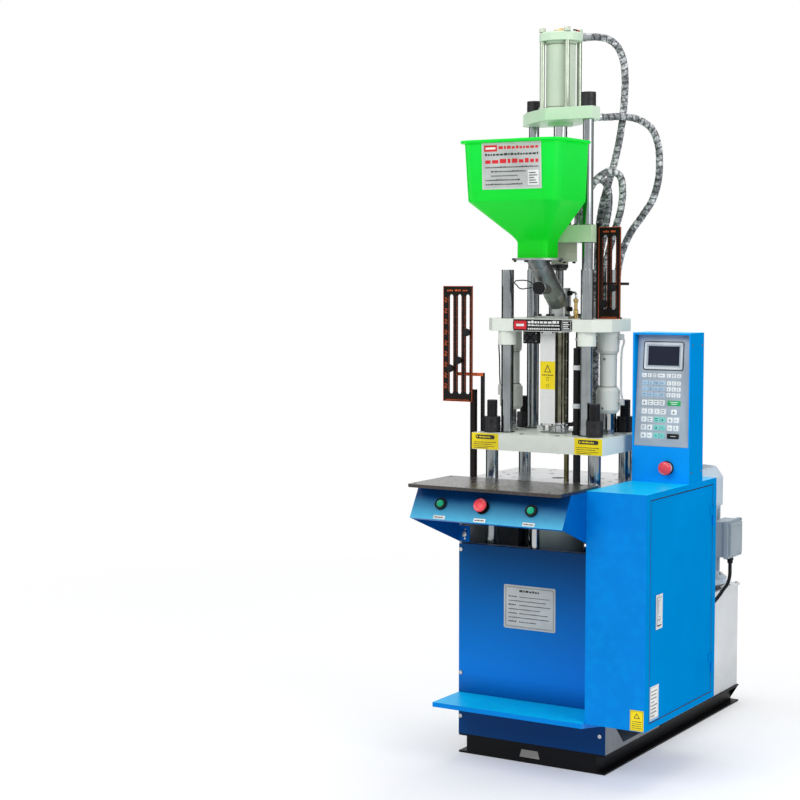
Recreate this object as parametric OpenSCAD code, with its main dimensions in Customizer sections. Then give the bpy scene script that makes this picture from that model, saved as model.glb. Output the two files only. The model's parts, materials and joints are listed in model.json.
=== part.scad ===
// Vertical injection moulding machine with a hopper, a clamp unit and an electric cabinet.
// Millimetres. The origin is on the floor, straight below the clamp axis.
// X runs to the right, Y runs to the back and Z runs up.

/* [Base and body] */
// Width of the base and of the body
body_w = 491; // [460:1:520]
// Distance from the clamp axis to the front of the body
body_front = 176; // [172:1:190]
// Distance from the clamp axis to the back of the body
body_back = 216; // [205:1:230]
// Height of the base channels
base_h = 59; // [50:1:80]
// Width of the channel flanges
base_flange = 34; // [30:1:50]
// Wall of the channels
base_wall = 6; // [5:1:8]
// Height of the body, from the floor to its top edge
body_top = 800; // [780:1:840]
// Thickness of the side plates
side_t = 8; // [6:1:12]
// Thickness of the sheet panels
sheet = 2; // [1.5:0.5:3]
// Height of the top edge of the front panel
panel_top = 642; // [620:1:660]
// Height of the foot shelf above the floor
shelf_z = 187; // [160:1:220]
// How far the foot shelf stands out in front
shelf_d = 157; // [120:1:180]
// Width of the lifting window at its foot
window_w = 70; // [50:1:90]
// Height of the lifting window
window_h = 26; // [20:1:32]

/* [Work table and console] */
// How far the table reaches in front of the clamp axis
table_front = 478; // [470:1:500]
// Depth of the table
table_d = 250; // [220:1:262]
// Thickness of the table
table_t = 10; // [8:1:16]
// How far the console's upper edge is in front of the clamp axis
console_top_y = 410; // [395:1:420]
// How far the console's lower edge is in front of the clamp axis
console_low_y = 463; // [445:1:470]
// Height of the console's lower edge
console_low_z = 755; // [740:1:765]
// Height of the console's foot on the body
console_foot_z = 650; // [645:1:670]

/* [Platens and tie bars] */
// Thickness of the lower platen
lower_t = 40; // [36:1:50]
// Open height between the two platens at rest
daylight = 90; // [80:1:120]
// Width of the moving platen
platen_w = 435; // [425:1:450]
// Depth of the moving platen
platen_d = 298; // [290:1:310]
// Thickness of the moving platen
platen_t = 50; // [45:1:60]
// Half spacing of the tie bars, left to right
tie_x = 171; // [168:1:175]
// Half spacing of the tie bars, front to back
tie_y = 106; // [104:1:108]
// Diameter of the tie bars
tie_d = 38; // [34:1:40]
// Diameter of the threaded tie bar ends
tie_end_d = 30; // [24:1:32]
// Length of the tie bar ends above the nuts
tie_end_h = 50; // [20:1:60]
// Diameter of the tie bar nuts
tie_nut_d = 50; // [44:1:52]
// Height of the tie bar nuts
tie_nut_h = 48; // [30:1:50]
// Radius of the opening for the nozzle
nozzle_hole_r = 60; // [50:1:62]
// Height of the crosshead above the floor
cross_z = 300; // [280:1:310]
// Thickness of the crosshead
cross_t = 45; // [35:1:50]
// Outer radius of the clamp cylinder
clamp_r = 80; // [70:1:82]
// Radius of the clamp piston rod
clamp_rod_r = 35; // [28:1:38]
// Radius of the ejector rod
ejector_r = 12.5; // [10:0.5:14]
// Distance from the clamp axis to the ejector rod
ejector_y = 148; // [146:1:149]

/* [Injection unit] */
// Half spacing of the guide columns, left to right
col_x = 132; // [130:1:134]
// Half spacing of the guide columns, front to back
col_y = 83; // [82:1:84]
// Diameter of the guide columns
col_d = 37.5; // [34:0.5:38]
// Diameter of the two tall columns above their shoulder
col_neck_d = 32; // [28:1:32]
// Height of the column shoulders above the moving platen
col_h = 490; // [470:1:500]
// Height of the middle plate above the moving platen
mid_lift = 307; // [300:1:315]
// Thickness of the middle plate
mid_t = 37; // [32:1:42]
// Half spacing of the seat cylinders
seat_x = 163; // [161:1:165]
// Radius of the seat cylinder rods
seat_rod_r = 16.5; // [14:0.5:17]
// Outer radius of the seat cylinder tubes
seat_tube_r = 25.5; // [24:0.5:27]
// Height of the motor plate above the middle plate
motor_lift = 226; // [220:1:232]
// Thickness of the motor plate
motor_t = 50; // [44:1:54]
// Height of the top plate above the moving platen
top_lift = 927; // [915:1:940]
// Thickness of the top plate
top_t = 36; // [30:1:42]
// Outer radius of the injection cylinder
cyl_r = 44; // [42:1:46]
// Height of the injection cylinder tube
cyl_h = 204; // [200:1:220]
// Radius of the injection cylinder cap
cap_r = 65; // [63:1:70]
// Thickness of the injection cylinder cap
cap_t = 26; // [20:1:32]
// Radius of the injection piston rod
rod_r = 20.5; // [18:0.5:22]
// Radius of the screw
screw_r = 12; // [10:0.5:13]
// Outer radius of the barrel
barrel_r = 22; // [20:1:24]
// Outer radius of the heater cover
cover_r = 30; // [28:1:32]

/* [Hopper] */
// Width of the hopper at its rim
hopper_w = 314; // [290:1:318]
// Depth of the hopper at its rim
hopper_d = 227; // [210:1:240]
// Height of the hopper from the flange to the rim
hopper_h = 335; // [320:1:345]
// Wall of the hopper
hopper_wall = 3.5; // [2.5:0.5:5]
// Distance from the clamp axis to the back wall of the hopper
hopper_back = 119; // [118:1:122]
// Width of the hopper neck
neck_w = 100; // [90:1:104]
// Depth of the hopper neck
neck_d = 81; // [72:1:84]
// Outer radius of the feed chute
chute_r = 30; // [26:1:31]

/* [Cabinet and control box] */
// Width of the cabinet, from the body to its door
cabinet_w = 185; // [170:1:220]
// How far the cabinet reaches in front of the clamp axis
cabinet_front = 314; // [300:1:320]
// Depth of the cabinet
cabinet_d = 510; // [480:1:520]
// Height of the underside of the cabinet
cabinet_z = 183; // [170:1:200]
// Height of the cabinet itself
cabinet_h = 665; // [640:1:670]
// Width of the border around the door
door_border = 22; // [18:1:30]
// Depth of the control box
box_d = 103; // [90:1:120]
// Height of the control box
box_h = 438; // [420:1:450]
// Width of the door handle
handle_w = 30; // [24:1:36]
// Height of the door handle
handle_h = 77; // [60:1:90]
// How far the upper edge of the keypad leans back
key_lean = 27; // [20:1:32]
// Diameter of the emergency stop heads
stop_d = 40; // [36:1:44]
// Diameter of the push button caps
button_d = 22; // [18:1:24]

/* [Oil tank and pump] */
// Depth of the oil tank
tank_d = 645; // [620:1:700]
// Distance between the body and the oil tank
tank_gap = 24; // [10:1:40]
// Height of the tank lid above the floor
tank_top = 410; // [390:1:415]
// Height of the bell housing between the tank lid and the motor
bell_h = 22; // [18:1:30]
// Distance of the motor from the clamp plane, to the right
motor_x = 130; // [110:1:135]
// Distance of the motor from the clamp axis, to the back
motor_y = 720; // [700:1:730]
// Radius of the motor housing
motor_r = 101; // [90:1:102]
// Radius of the fan cowl
cowl_r = 108; // [102:1:112]
// Height of the top of the fan cowl above the floor
motor_top = 815; // [790:1:830]

/* [Rulers] */
// Width of the left ruler
ruler_w = 102; // [90:1:105]
// Height of the left ruler
ruler_h = 351; // [340:1:360]
// Width of the right ruler
ruler2_w = 71; // [66:1:74]
// Height of the right ruler
ruler2_h = 272; // [262:1:280]
// Thickness of the rulers
ruler_t = 4; // [3:0.5:5]
// Width of the ruler slots
slot_w = 13; // [10:1:14]

/* [Clearances] */
// Running clearance between a shaft and its bore, on the radius
fit = 0.05; // [0.02:0.01:0.08]
// Clearance between pieces that are bolted or seated
gap = 0.3; // [0.2:0.1:0.4]

/* [Hidden] */
$fn = 48;

// Heights of the levels, from the floor
z_lower = body_top + lower_t;
z_platen = z_lower + daylight;
z_deck = z_platen + platen_t;
z_mid = z_deck + mid_lift;
z_mid_top = z_mid + mid_t;
z_motor = z_mid_top + motor_lift;
z_motor_top = z_motor + motor_t;
z_top = z_deck + top_lift;
z_cyl = z_top + top_t;
z_cap = z_cyl + cyl_h;
z_flange = z_mid_top + 173;
z_hopper = z_flange + 6;
z_table = z_lower + 5;

half_w = body_w / 2;
half_platen = platen_w / 2;
cab_x0 = half_w + 0.5;
cab_x1 = cab_x0 + cabinet_w;
cab_y0 = -cabinet_front;
cab_y1 = cab_y0 + cabinet_d;
cab_z1 = cabinet_z + cabinet_h;
door_y0 = cab_y0 + door_border + 7;
door_y1 = cab_y1 - door_border - 8;
door_z0 = cabinet_z + door_border - 1;
door_z1 = cab_z1 - door_border + 2;
door_gap = 2;
hinge_x = cab_x1 + 2;
hinge_y = door_y1 + 2;
hinge_z = [door_z0 + 90, door_z1 - 90];
handle_y = door_y0 + 41;
handle_z = cabinet_z + 291;
tank_y0 = body_back + tank_gap;
tank_y1 = tank_y0 + tank_d;
base_back = tank_y1 + 5;
tank_half = half_w - 5;

// The control box stands on the cabinet, in line with its door
box_x0 = cab_x0 + 1;
box_x1 = cab_x1 - 3;
box_y0 = -11;
box_y1 = box_y0 + box_d;
box_z0 = cab_z1;
box_z1 = box_z0 + box_h;
key_z0 = box_z0 + 105;
key_z1 = box_z1 - 6;
key_h = sqrt(pow(key_z1 - key_z0, 2) + pow(key_lean, 2));
key_tilt = atan2(key_lean, key_z1 - key_z0);
key_w = box_x1 - box_x0 - 12;

// The console's face leans back, with its lower edge in front
console_top_z = z_table;
face_rise = console_top_z - console_low_z;
face_run = console_low_y - console_top_y;
face_tilt = atan2(face_run, face_rise);
face_mid = 0.46;
button_x = [-153, 139];
stop_x = -17;
press = 3;
head_gap = 4;

// Stroke limits that the inner lengths are made for
clamp_down = 60;
clamp_up = 160;
inject_down = 45;
seat_up = 50;
clamp_len = clamp_up + clamp_down + 67;
clamp_bore_r = clamp_r - 20;
piston_t = 25;

// Mould bolt holes, as half spacings in X and Y
bolt_a = [125, 50];
bolt_b = [70, 95];
bolt_r = 7;
// Mould height rods that hang in the moving platen
rod_a = [52, -50];
rod_a_r = 7.5;
rod_b = [92, -62];
rod_b_r = 11;

// Feed chute, from the screw axis to the middle of the hopper neck
hopper_x = 8;
neck_y = -hopper_back - neck_d / 2;
chute_foot = z_mid_top + 40;
chute_dir = [hopper_x, neck_y, z_flange - chute_foot];
chute_len = norm(chute_dir);
chute_pitch = acos(chute_dir[2] / chute_len);
chute_turn = atan2(chute_dir[1], chute_dir[0]);
chute_bore_r = chute_r - 8;
throat_r = 32;
port_r = 18;
port_z = z_mid_top + 92;
port_y = -138;
neck_h = 53;
shoulder_h = 162;
hopper_corner = 40;

// Left ruler, held by a post on the lower platen
post_w = 16;
post_x = -half_platen - 1.5 - post_w;
post_y = -129;
post_d = 16;
post_h = 268;
ruler_x1 = post_x + 9;
ruler_z0 = z_lower + 230;
left_slots = [28.5, 57, 85.5];
left_dogs = [101, 126, 211];

// Right ruler, held by two feet on the middle plate
ruler2_x0 = 128;
ruler2_y = 2;
right_slots = [21, 49];
right_dogs = [45, 92];

// Hose block on the moving platen and port block on the middle plate
block = [30, 120, 105, 29, 36];
ports = [56, 92, 52, 24, 26];
// Ports of the top plate and of the cylinder cap
base_port = [104, 60];
cap_port = [78, 42];
hose_d = 22;
cable_d = 12;

// Cap of the injection cylinder to the hose block
hose_cap_route = [
    [78, 42, 2161], [96, 52, 2161], [123, 69, 2154], [144, 89, 2132], [155, 106, 2092],
    [154, 121, 2040], [144, 135, 1960], [132, 139, 1880], [114, 140, 1800], [92, 141, 1730],
    [71, 142, 1660], [60, 142, 1580], [56, 141, 1400], [55, 137, 1140], [55, 135, 1040]
];
// Foot of the injection cylinder to the hose block
hose_base_route = [
    [104, 60, 1925], [117, 74, 1925], [150, 106, 1928], [190, 134, 1920], [222, 158, 1896],
    [240, 170, 1852], [246, 172, 1796], [242, 172, 1736], [226, 168, 1680], [196, 162, 1632],
    [160, 155, 1580], [132, 149, 1510], [119, 144, 1400], [115, 138, 1160], [115, 135, 1040]
];
// Motor plate to the port block on the middle plate, first hose
hose_motor_a_route = [
    [62, 28, 1624], [62, 28, 1642], [66, 36, 1680], [77, 50, 1716], [98, 70, 1750],
    [124, 92, 1766], [146, 108, 1750], [152, 115, 1704], [144, 117, 1646], [124, 116, 1580],
    [104, 110, 1500], [94, 105, 1420], [94, 104, 1374]
];
// Motor plate to the port block on the middle plate, second hose
hose_motor_b_route = [
    [30, 62, 1624], [30, 62, 1642], [34, 69, 1676], [46, 82, 1710], [66, 96, 1736],
    [88, 107, 1740], [104, 112, 1716], [108, 113, 1668], [99, 110, 1600], [84, 106, 1520],
    [71, 104, 1430], [70, 104, 1374]
];
// Middle plate to the hose block
hose_seat_route = [
    [20, 100, 1263], [20, 100, 1240], [31, 99, 1200], [51, 100, 1154], [70, 108, 1116],
    [82, 123, 1084], [85, 135, 1060], [85, 135, 1040]
];
// Hose block to the valve block on the tank
hose_main_route = [
    [85, 172, 996], [85, 190, 996], [87, 228, 992], [90, 264, 976], [92, 296, 946],
    [92, 326, 900], [90, 352, 840], [84, 372, 770], [72, 383, 700], [60, 385, 640],
    [56, 384, 602], [56, 384, 584]
];
// Terminal box to the cabinet
motor_cable_route = [
    [282, 700, 506], [282, 700, 490], [285, 692, 471], [290, 670, 454], [296, 636, 443],
    [302, 590, 435], [309, 530, 422], [316, 450, 408], [324, 370, 400], [331, 300, 402],
    [335, 240, 409], [335, 216, 410]
];

// A box from one corner to the opposite one
module block_between(a, b) {
    translate(a) cube(b - a);
}

// A profile in Y and Z, drawn from x0 to x1
module along_x(x0, x1) {
    translate([x0, 0, 0]) rotate([90, 0, 90]) linear_extrude(x1 - x0) children();
}

// A cylinder between two heights
module rod(r, z0, z1) {
    translate([0, 0, z0]) cylinder(r = r, h = z1 - z0);
}

// Copies at the four tie bars
module at_ties() {
    for (sx = [-1, 1], sy = [-1, 1]) translate([sx * tie_x, sy * tie_y, 0]) children();
}

// Copies at the four guide columns
module at_columns() {
    for (sx = [-1, 1], sy = [-1, 1]) translate([sx * col_x, sy * col_y, 0]) children();
}

// Copies at the two tall columns, front right and back left
module at_tall() {
    for (s = [-1, 1]) translate([s * col_x, -s * col_y, 0]) children();
}

// Copies at the two seat cylinders
module at_seats() {
    for (s = [-1, 1]) translate([s * seat_x, 0, 0]) children();
}

// Copies at the corners of a rectangle of half spacings p
module at_corners(p) {
    for (sx = [-1, 1], sy = [-1, 1]) translate([sx * p[0], sy * p[1], 0]) children();
}

// Places a child on the console's face: x right, y up the slope, z outwards
module on_face(x) {
    translate([x, -console_low_y + face_mid * face_run, console_low_z + face_mid * face_rise])
        rotate([90 - face_tilt, 0, 0]) children();
}

// Places a child on the keypad's plane: x right, y up the slope, z outwards
module on_keypad() {
    translate([box_x0 + 6, box_y0 + 3, key_z0]) rotate([90 - key_tilt, 0, 0]) children();
}

// Places a child on the lower front of the control box, z outwards
module on_box_front() {
    translate([box_x1 - 68, box_y0, box_z0 + 44]) rotate([90, 0, 0]) children();
}

// Rounded rectangle around a middle point
module rounded(w, d, r) {
    offset(r = r) square([w - 2 * r, d - 2 * r], center = true);
}

// Points of a rounded rectangle at height z, flush at its back and drawn inwards by t
function hopper_ring(w, d, r, z, t) = [
    for (c = [[1, -1, -90], [1, 1, 0], [-1, 1, 90], [-1, -1, 180]], a = [0:15:90])
    [
        hopper_x + c[0] * (w / 2 - r) + (r - t) * cos(c[2] + a),
        c[1] * (d / 2 - r) - hopper_back - d / 2 + (r - t) * sin(c[2] + a),
        z
    ]
];

// A solid through rings of points, from the lowest ring to the highest
module ring_stack(rings) {
    n = len(rings[0]);
    last = len(rings) - 1;
    sides = [
        for (i = [0:last - 1], k = [0:n - 1])
        [(i + 1) * n + k, (i + 1) * n + (k + 1) % n, i * n + (k + 1) % n, i * n + k]
    ];
    bottom = [for (k = [0:n - 1]) k];
    top = [for (k = [n - 1:-1:0]) last * n + k];
    polyhedron([for (r = rings) each r], concat([bottom], sides, [top]), convexity = 6);
}

// The form of the hopper, drawn inwards by a wall and longer by over at both ends
module hopper_form(t, over) {
    bend_w = hopper_w - 16;
    bend_d = hopper_d - 8;
    ring_stack([
        hopper_ring(neck_w, neck_d, 12, z_hopper - over, t),
        hopper_ring(neck_w, neck_d, 12, z_hopper + neck_h, t),
        hopper_ring(bend_w, bend_d, hopper_corner, z_hopper + shoulder_h, t),
        hopper_ring(hopper_w, hopper_d, hopper_corner, z_hopper + hopper_h + over, t)
    ]);
}

// Plate that holds the two tall columns: side and end place its narrow ends, lean its long back edge
module diagonal_plate(front, side, end, lean) {
    mid = 0.71 * side;
    half = [[side, -front], [side, -end], [mid, front - (mid + 8) * lean], [-8, front]];
    polygon(concat(half, [for (p = half) -p]));
}

// Ring of points for the swept tube
function unit(v) = v / norm(v);
function tangent(p, i) = unit(p[min(i + 1, len(p) - 1)] - p[max(i - 1, 0)]);
function ring(p, i, r, n, ref) =
    let (t = tangent(p, i), a = unit(cross(ref, t)), b = cross(t, a))
    [for (k = [0:n - 1]) p[i] + r * (cos(360 * k / n) * a + sin(360 * k / n) * b)];

// A tube swept along a route, closed at both ends
module swept(p, d, n, ref) {
    last = len(p) - 1;
    points = [for (i = [0:last]) each ring(p, i, d / 2, n, ref)];
    sides = [
        for (i = [0:last - 1], k = [0:n - 1])
        [i * n + k, i * n + (k + 1) % n, (i + 1) * n + (k + 1) % n, (i + 1) * n + k]
    ];
    start = [for (k = [n - 1:-1:0]) k];
    end = [for (k = [0:n - 1]) last * n + k];
    polyhedron(points, concat([start], sides, [end]), convexity = 8);
}

// A hose fitting: a hexagon nut and a ferrule, along +Z
module fitting(h) {
    cylinder(r = 13, h = h * 0.45, $fn = 6);
    translate([0, 0, h * 0.45]) cylinder(r = 11.5, h = h * 0.55);
}

// Channel section, open to +X, with its web on x = 0
module channel(w, h, t) {
    difference() {
        square([w, h]);
        translate([t, t]) square([w, h - 2 * t]);
    }
}

// Welded channel base with a lifting window in front
module base_frame() {
    web_x = half_w - base_flange;
    cross_y = [-body_front, -base_flange / 2, base_back - base_flange];
    color([0.05, 0.05, 0.055]) difference() {
        union() {
            for (s = [-1, 1]) scale([s, 1, 1]) translate([web_x, base_back, 0])
                rotate([90, 0, 0]) linear_extrude(base_back + body_front)
                    channel(base_flange, base_h, base_wall);
            for (y = cross_y) along_x(-web_x, web_x) translate([y, 0])
                channel(base_flange, base_h, base_wall);
        }
        translate([-3, -body_front - 1, 0]) rotate([-90, 0, 0]) linear_extrude(base_wall + 2)
            polygon([
                [-window_w / 2, -13], [window_w / 2, -13],
                [window_w / 2 - 7, -13 - window_h], [7 - window_w / 2, -13 - window_h]
            ]);
    }
}

// Welded plate body that carries the lower platen
module body_frame() {
    y0 = -body_front + sheet;
    z0 = base_h;
    inner = half_w - side_t;
    foot = [[-body_front + 126, z0 + 12], [96, z0 + 12], [170, z0 + 110], [-body_front + 30, z0 + 110]];
    color([0.82, 0.83, 0.82]) difference() {
        union() {
            for (s = [-1, 1]) scale([s, 1, 1])
                block_between([inner, y0, z0], [half_w, body_back, body_top]);
            block_between([-inner, y0, z0], [inner, body_back, z0 + 10]);
            block_between([-inner, body_back - side_t, z0], [inner, body_back, body_top]);
            block_between([-inner, y0, panel_top - 8], [inner, -tie_y - tie_d / 2 - 4, panel_top]);
            for (s = [-1, 1]) scale([s, 1, 1])
                block_between([inner - 24, y0, z0], [inner, y0 + 6, panel_top - 8]);
        }
        along_x(-half_w - 1, half_w + 1) polygon(foot);
        block_between([-150, body_back - side_t - 1, z0 + 120], [150, body_back + 1, body_top - 120]);
        translate([0, -ejector_y, 0]) rod(ejector_r + 1, panel_top - 9, panel_top + 1);
    }
}

// Blue front sheet with a folded top edge and four screws
module front_panel() {
    y = -body_front;
    color([0.02, 0.36, 0.62]) {
        difference() {
            union() {
                block_between([-half_w, y, base_h], [half_w, y + sheet, panel_top]);
                block_between([side_t + gap - half_w, y, panel_top],
                    [half_w - side_t - gap, y + 12, panel_top + sheet]);
            }
            translate([0, -ejector_y, 0]) rod(ejector_r + 1, panel_top - 1, panel_top + 3);
        }
        for (x = [8 - half_w, half_w - 16], z = [base_h + 55, 248, panel_top - 16])
            translate([x, y, z]) rotate([90, 0, 0]) cylinder(r = 6, h = 4);
    }
}

// Left and back covers with vent slots
module cover_panels() {
    z0 = base_h + 130;
    color([0.02, 0.42, 0.72]) {
        difference() {
            block_between([-half_w - sheet, -body_front + 6, z0], [-half_w, body_back - 4, body_top - 8]);
            for (z = [z0 + 330:30:z0 + 480])
                block_between([-half_w - sheet - 1, -60, z], [-half_w + 1, 100, z + 8]);
        }
        difference() {
            block_between([-220, body_back, tank_top + 20], [220, body_back + sheet, body_top - 8]);
            for (z = [tank_top + 160:30:tank_top + 300])
                block_between([-90, body_back - 1, z], [90, body_back + sheet + 1, z + 8]);
        }
    }
}

// Folded foot shelf on the front panel
module foot_shelf() {
    y1 = -body_front - gap;
    y0 = -body_front - shelf_d;
    color([0.1, 0.5, 0.85]) difference() {
        union() {
            block_between([-half_w, y0, shelf_z - sheet], [half_w, y1, shelf_z]);
            block_between([-half_w, y0, shelf_z - 14], [half_w, y0 + sheet, shelf_z]);
            block_between([-half_w, y1 - sheet, shelf_z - 40], [half_w, y1, shelf_z]);
            for (x = [-half_w, -1, half_w - sheet]) along_x(x, x + sheet)
                polygon([[y0, shelf_z - 14], [y1, shelf_z - 40], [y1, shelf_z], [y0, shelf_z]]);
        }
        block_between([cab_x0 - 1, y0 - 1, 0], [half_w + 1, y1 + 1, body_top]);
    }
}

// Polished lower platen with mould bolt holes and a locating bore
module lower_platen() {
    color([0.75, 0.75, 0.76]) difference() {
        block_between([-half_w, -body_front - 20, body_top], [half_w, body_back, z_lower]);
        at_ties() rod(tie_d / 2 + fit, body_top - 1, z_lower + 1);
        at_corners(bolt_a) rod(bolt_r, body_top - 1, z_lower + 1);
        at_corners(bolt_b) rod(bolt_r, body_top - 1, z_lower + 1);
        for (x = [-215, -172, 172, 215], y = [-50, 0, 50, 165]) translate([x, y, 0])
            rod(bolt_r - 1, z_lower - 30, z_lower + 1);
        for (x = [-110, -40, 40, 110], y = [165, 195]) translate([x, y, 0])
            rod(bolt_r - 1, z_lower - 30, z_lower + 1);
        rod(20, z_lower - 12, z_lower + 1);
        translate([0, -ejector_y, 0]) rod(ejector_r + fit, body_top - 1, z_lower + 1);
        translate(rod_a) rod(rod_a_r + 1, body_top - 1, z_lower + 1);
        translate(rod_b) rod(rod_b_r + 1, body_top - 1, z_lower + 1);
    }
}

// Plain steel table in front of the lower platen
module work_table() {
    r = 10;
    color([0.36, 0.33, 0.32]) translate([0, -table_front + table_d / 2, z_table])
        linear_extrude(table_t) offset(r = r)
            square([body_w - 2 * r, table_d - 2 * r], center = true);
}

// Folded console under the table, with holes for its three controls
module console_box() {
    top = [-console_top_y, console_top_z];
    low = [-console_low_y, console_low_z];
    back_y = -body_front - gap;
    foot = [back_y, console_foot_z];
    in_y = sheet / cos(face_tilt);
    color([0.3, 0.68, 0.9]) difference() {
        union() {
            along_x(-half_w, half_w) polygon([top, low, low + [in_y, 0], top + [in_y, 0]]);
            along_x(-half_w, half_w) polygon([
                low, low + [16, -6], low + [16, -6 + sheet], low + [in_y, sheet]
            ]);
            block_between([-half_w, -console_top_y, console_top_z - sheet],
                [half_w, -body_front - 20 - gap, console_top_z]);
            for (x = [-half_w, half_w - sheet]) along_x(x, x + sheet)
                polygon([top, low, foot, [back_y, body_top - gap],
                    [-body_front - 20 - gap, body_top - gap], [-body_front - 20 - gap, console_top_z]]);
            for (x = [-half_w, half_w - 38])
                block_between([x, back_y - sheet, console_foot_z], [x + 38, back_y, console_foot_z + 48]);
        }
        for (x = button_x) on_face(x) rod(button_d / 2 + gap, -9, 9);
        on_face(stop_x) rod(8 + gap, -9, 9);
    }
    for (x = [-half_w + 22, half_w - 22]) color([0.15, 0.15, 0.16])
        translate([x, back_y - sheet, console_foot_z + 24]) rotate([90, 0, 0]) cylinder(r = 8, h = 6);
}

// Clamp cylinder under the lower platen and ejector cylinder under its shelf
module platen_cylinders() {
    z0 = body_top - clamp_len;
    color([0.80, 0.82, 0.80]) difference() {
        union() {
            rod(clamp_r, z0, body_top);
            rod(clamp_r + 12, body_top - 25, body_top);
            rod(clamp_r + 6, z0, z0 + 30);
        }
        rod(clamp_bore_r, z0 + 25, body_top - 15);
        rod(clamp_rod_r + fit, z0 - 1, z0 + 26);
        translate(rod_a) rod(rod_a_r + 1, body_top - 30, body_top + 1);
    }
    color([0.2, 0.2, 0.22]) translate([0, -ejector_y, 0]) difference() {
        union() {
            rod(25, panel_top - 178, panel_top - 8);
            translate([-30, -24, panel_top - 20]) cube([60, 48, 12]);
        }
        rod(20, panel_top - 168, panel_top - 26);
        rod(ejector_r + fit, panel_top - 30, panel_top);
    }
}

// Oil tank with its lid, filler cap and level glass
module oil_tank() {
    z0 = base_h;
    lid = tank_top - 8;
    color([0.82, 0.83, 0.83]) {
        difference() {
            block_between([-tank_half, tank_y0, z0], [tank_half, tank_y1, lid]);
            block_between([4 - tank_half, tank_y0 + 4, z0 + 4], [tank_half - 4, tank_y1 - 4, lid + 1]);
        }
        difference() {
            block_between([-tank_half - 5, tank_y0 - 5, lid], [tank_half + 5, tank_y1 + 5, tank_top]);
            translate([motor_x, motor_y, 0]) rod(60, lid - 1, tank_top + 1);
        }
    }
    color([0.1, 0.1, 0.1]) {
        translate([-120, 620, 0]) rod(32, tank_top, tank_top + 40);
        translate([-120, 620, 0]) rod(40, tank_top + 40, tank_top + 62);
        block_between([-tank_half - 14, 540, z0 + 80], [-tank_half, 575, z0 + 240]);
    }
}

// Finned pump motor on its bell housing, with the pump below
module pump_motor() {
    pump_unit();
    z0 = tank_top + bell_h;
    z1 = motor_top - 115;
    fins = 28;
    color([0.80, 0.82, 0.84]) translate([motor_x, motor_y, 0]) {
        difference() {
            union() {
                rod(124, z0, z0 + 16);
                rod(motor_r - 12, z0 + 16, z1);
                rod(motor_r - 2, z0 + 16, z0 + 40);
                rod(motor_r - 2, z1 - 20, z1 - 8);
                rod(cowl_r, z1 - 8, z1);
                for (k = [0:fins - 1]) rotate([0, 0, (k + 0.5) * 360 / fins])
                    translate([motor_r - 14, -1.5, z0 + 30]) cube([14, 3, z1 - z0 - 40]);
            }
            for (k = [0:3]) rotate([0, 0, 45 + 90 * k]) translate([112, 0, 0])
                rod(6, z0 - 1, z0 + 17);
        }
    }
}

// Sheet cowl over the motor's fan, with a chamfered top and grille slots
module fan_cowl() {
    z0 = motor_top - 115 + gap;
    color([0.82, 0.84, 0.86]) translate([motor_x, motor_y, 0]) difference() {
        rotate_extrude() polygon([
            [0, motor_top - 3], [cowl_r - 21, motor_top - 3], [cowl_r - 3, motor_top - 31],
            [cowl_r - 3, z0], [cowl_r, z0], [cowl_r, motor_top - 30], [cowl_r - 20, motor_top],
            [0, motor_top]
        ]);
        for (a = [0:30:330]) rotate([0, 0, a]) translate([28, -4, motor_top - 5]) cube([56, 8, 8]);
    }
}

// Terminal box on the right of the motor, with its lid and cable gland
module terminal_box() {
    z0 = 528;
    x0 = motor_x + motor_r + gap;
    x1 = x0 + 64;
    color([0.6, 0.64, 0.68]) translate([0, motor_y, 0]) {
        block_between([x0, -57, z0], [x1 - 20, 57, z0 + 117]);
        block_between([x1 - 20, -62, z0 - 4], [x1 - 8, 62, z0 + 121]);
        block_between([x1 - 8, -52, z0 + 6], [x1, 52, z0 + 111]);
        for (sy = [-1, 1], z = [z0 + 1, z0 + 116]) translate([x1 - 8, sy * 57, z])
            rotate([0, 90, 0]) cylinder(r = 4, h = 3);
    }
    color([0.1, 0.1, 0.1]) translate([282, motor_y - 20, 0]) {
        rod(11, z0 - 12, z0 - 4);
        rod(9, z0 - 22 + gap, z0 - 12);
    }
}

// Bell housing on the tank lid and the pump below it, inside the tank
module pump_unit() {
    color([0.7, 0.72, 0.74]) translate([motor_x, motor_y, 0]) {
        difference() {
            union() {
                rod(104, tank_top, tank_top + 8);
                rod(96, tank_top + 8, tank_top + bell_h - 8);
                rod(118, tank_top + bell_h - 8, tank_top + bell_h);
            }
            rod(45, tank_top - 1, tank_top + bell_h + 1);
        }
        rod(55, tank_top - 120, tank_top - 8);
        rod(18, tank_top - 180, tank_top - 120);
        rod(46, tank_top - 8, tank_top);
        rod(20, tank_top, tank_top + bell_h);
    }
}

// Valve block on the tank lid with four solenoid valves
module valve_manifold() {
    y0 = 320;
    color([0.45, 0.46, 0.48]) {
        block_between([-80, y0, tank_top], [90, y0 + 110, tank_top + 90]);
        for (k = [0:2]) translate([-62 + 44 * k, y0 + 30, tank_top + 90]) {
            cube([34, 50, 34]);
            translate([3, -24, 3]) cube([28, 98, 28]);
        }
    }
    color([0.7, 0.7, 0.72]) translate([56, 384, 0]) {
        translate([0, 0, tank_top + 90]) fitting(84 - gap);
    }
}

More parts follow.
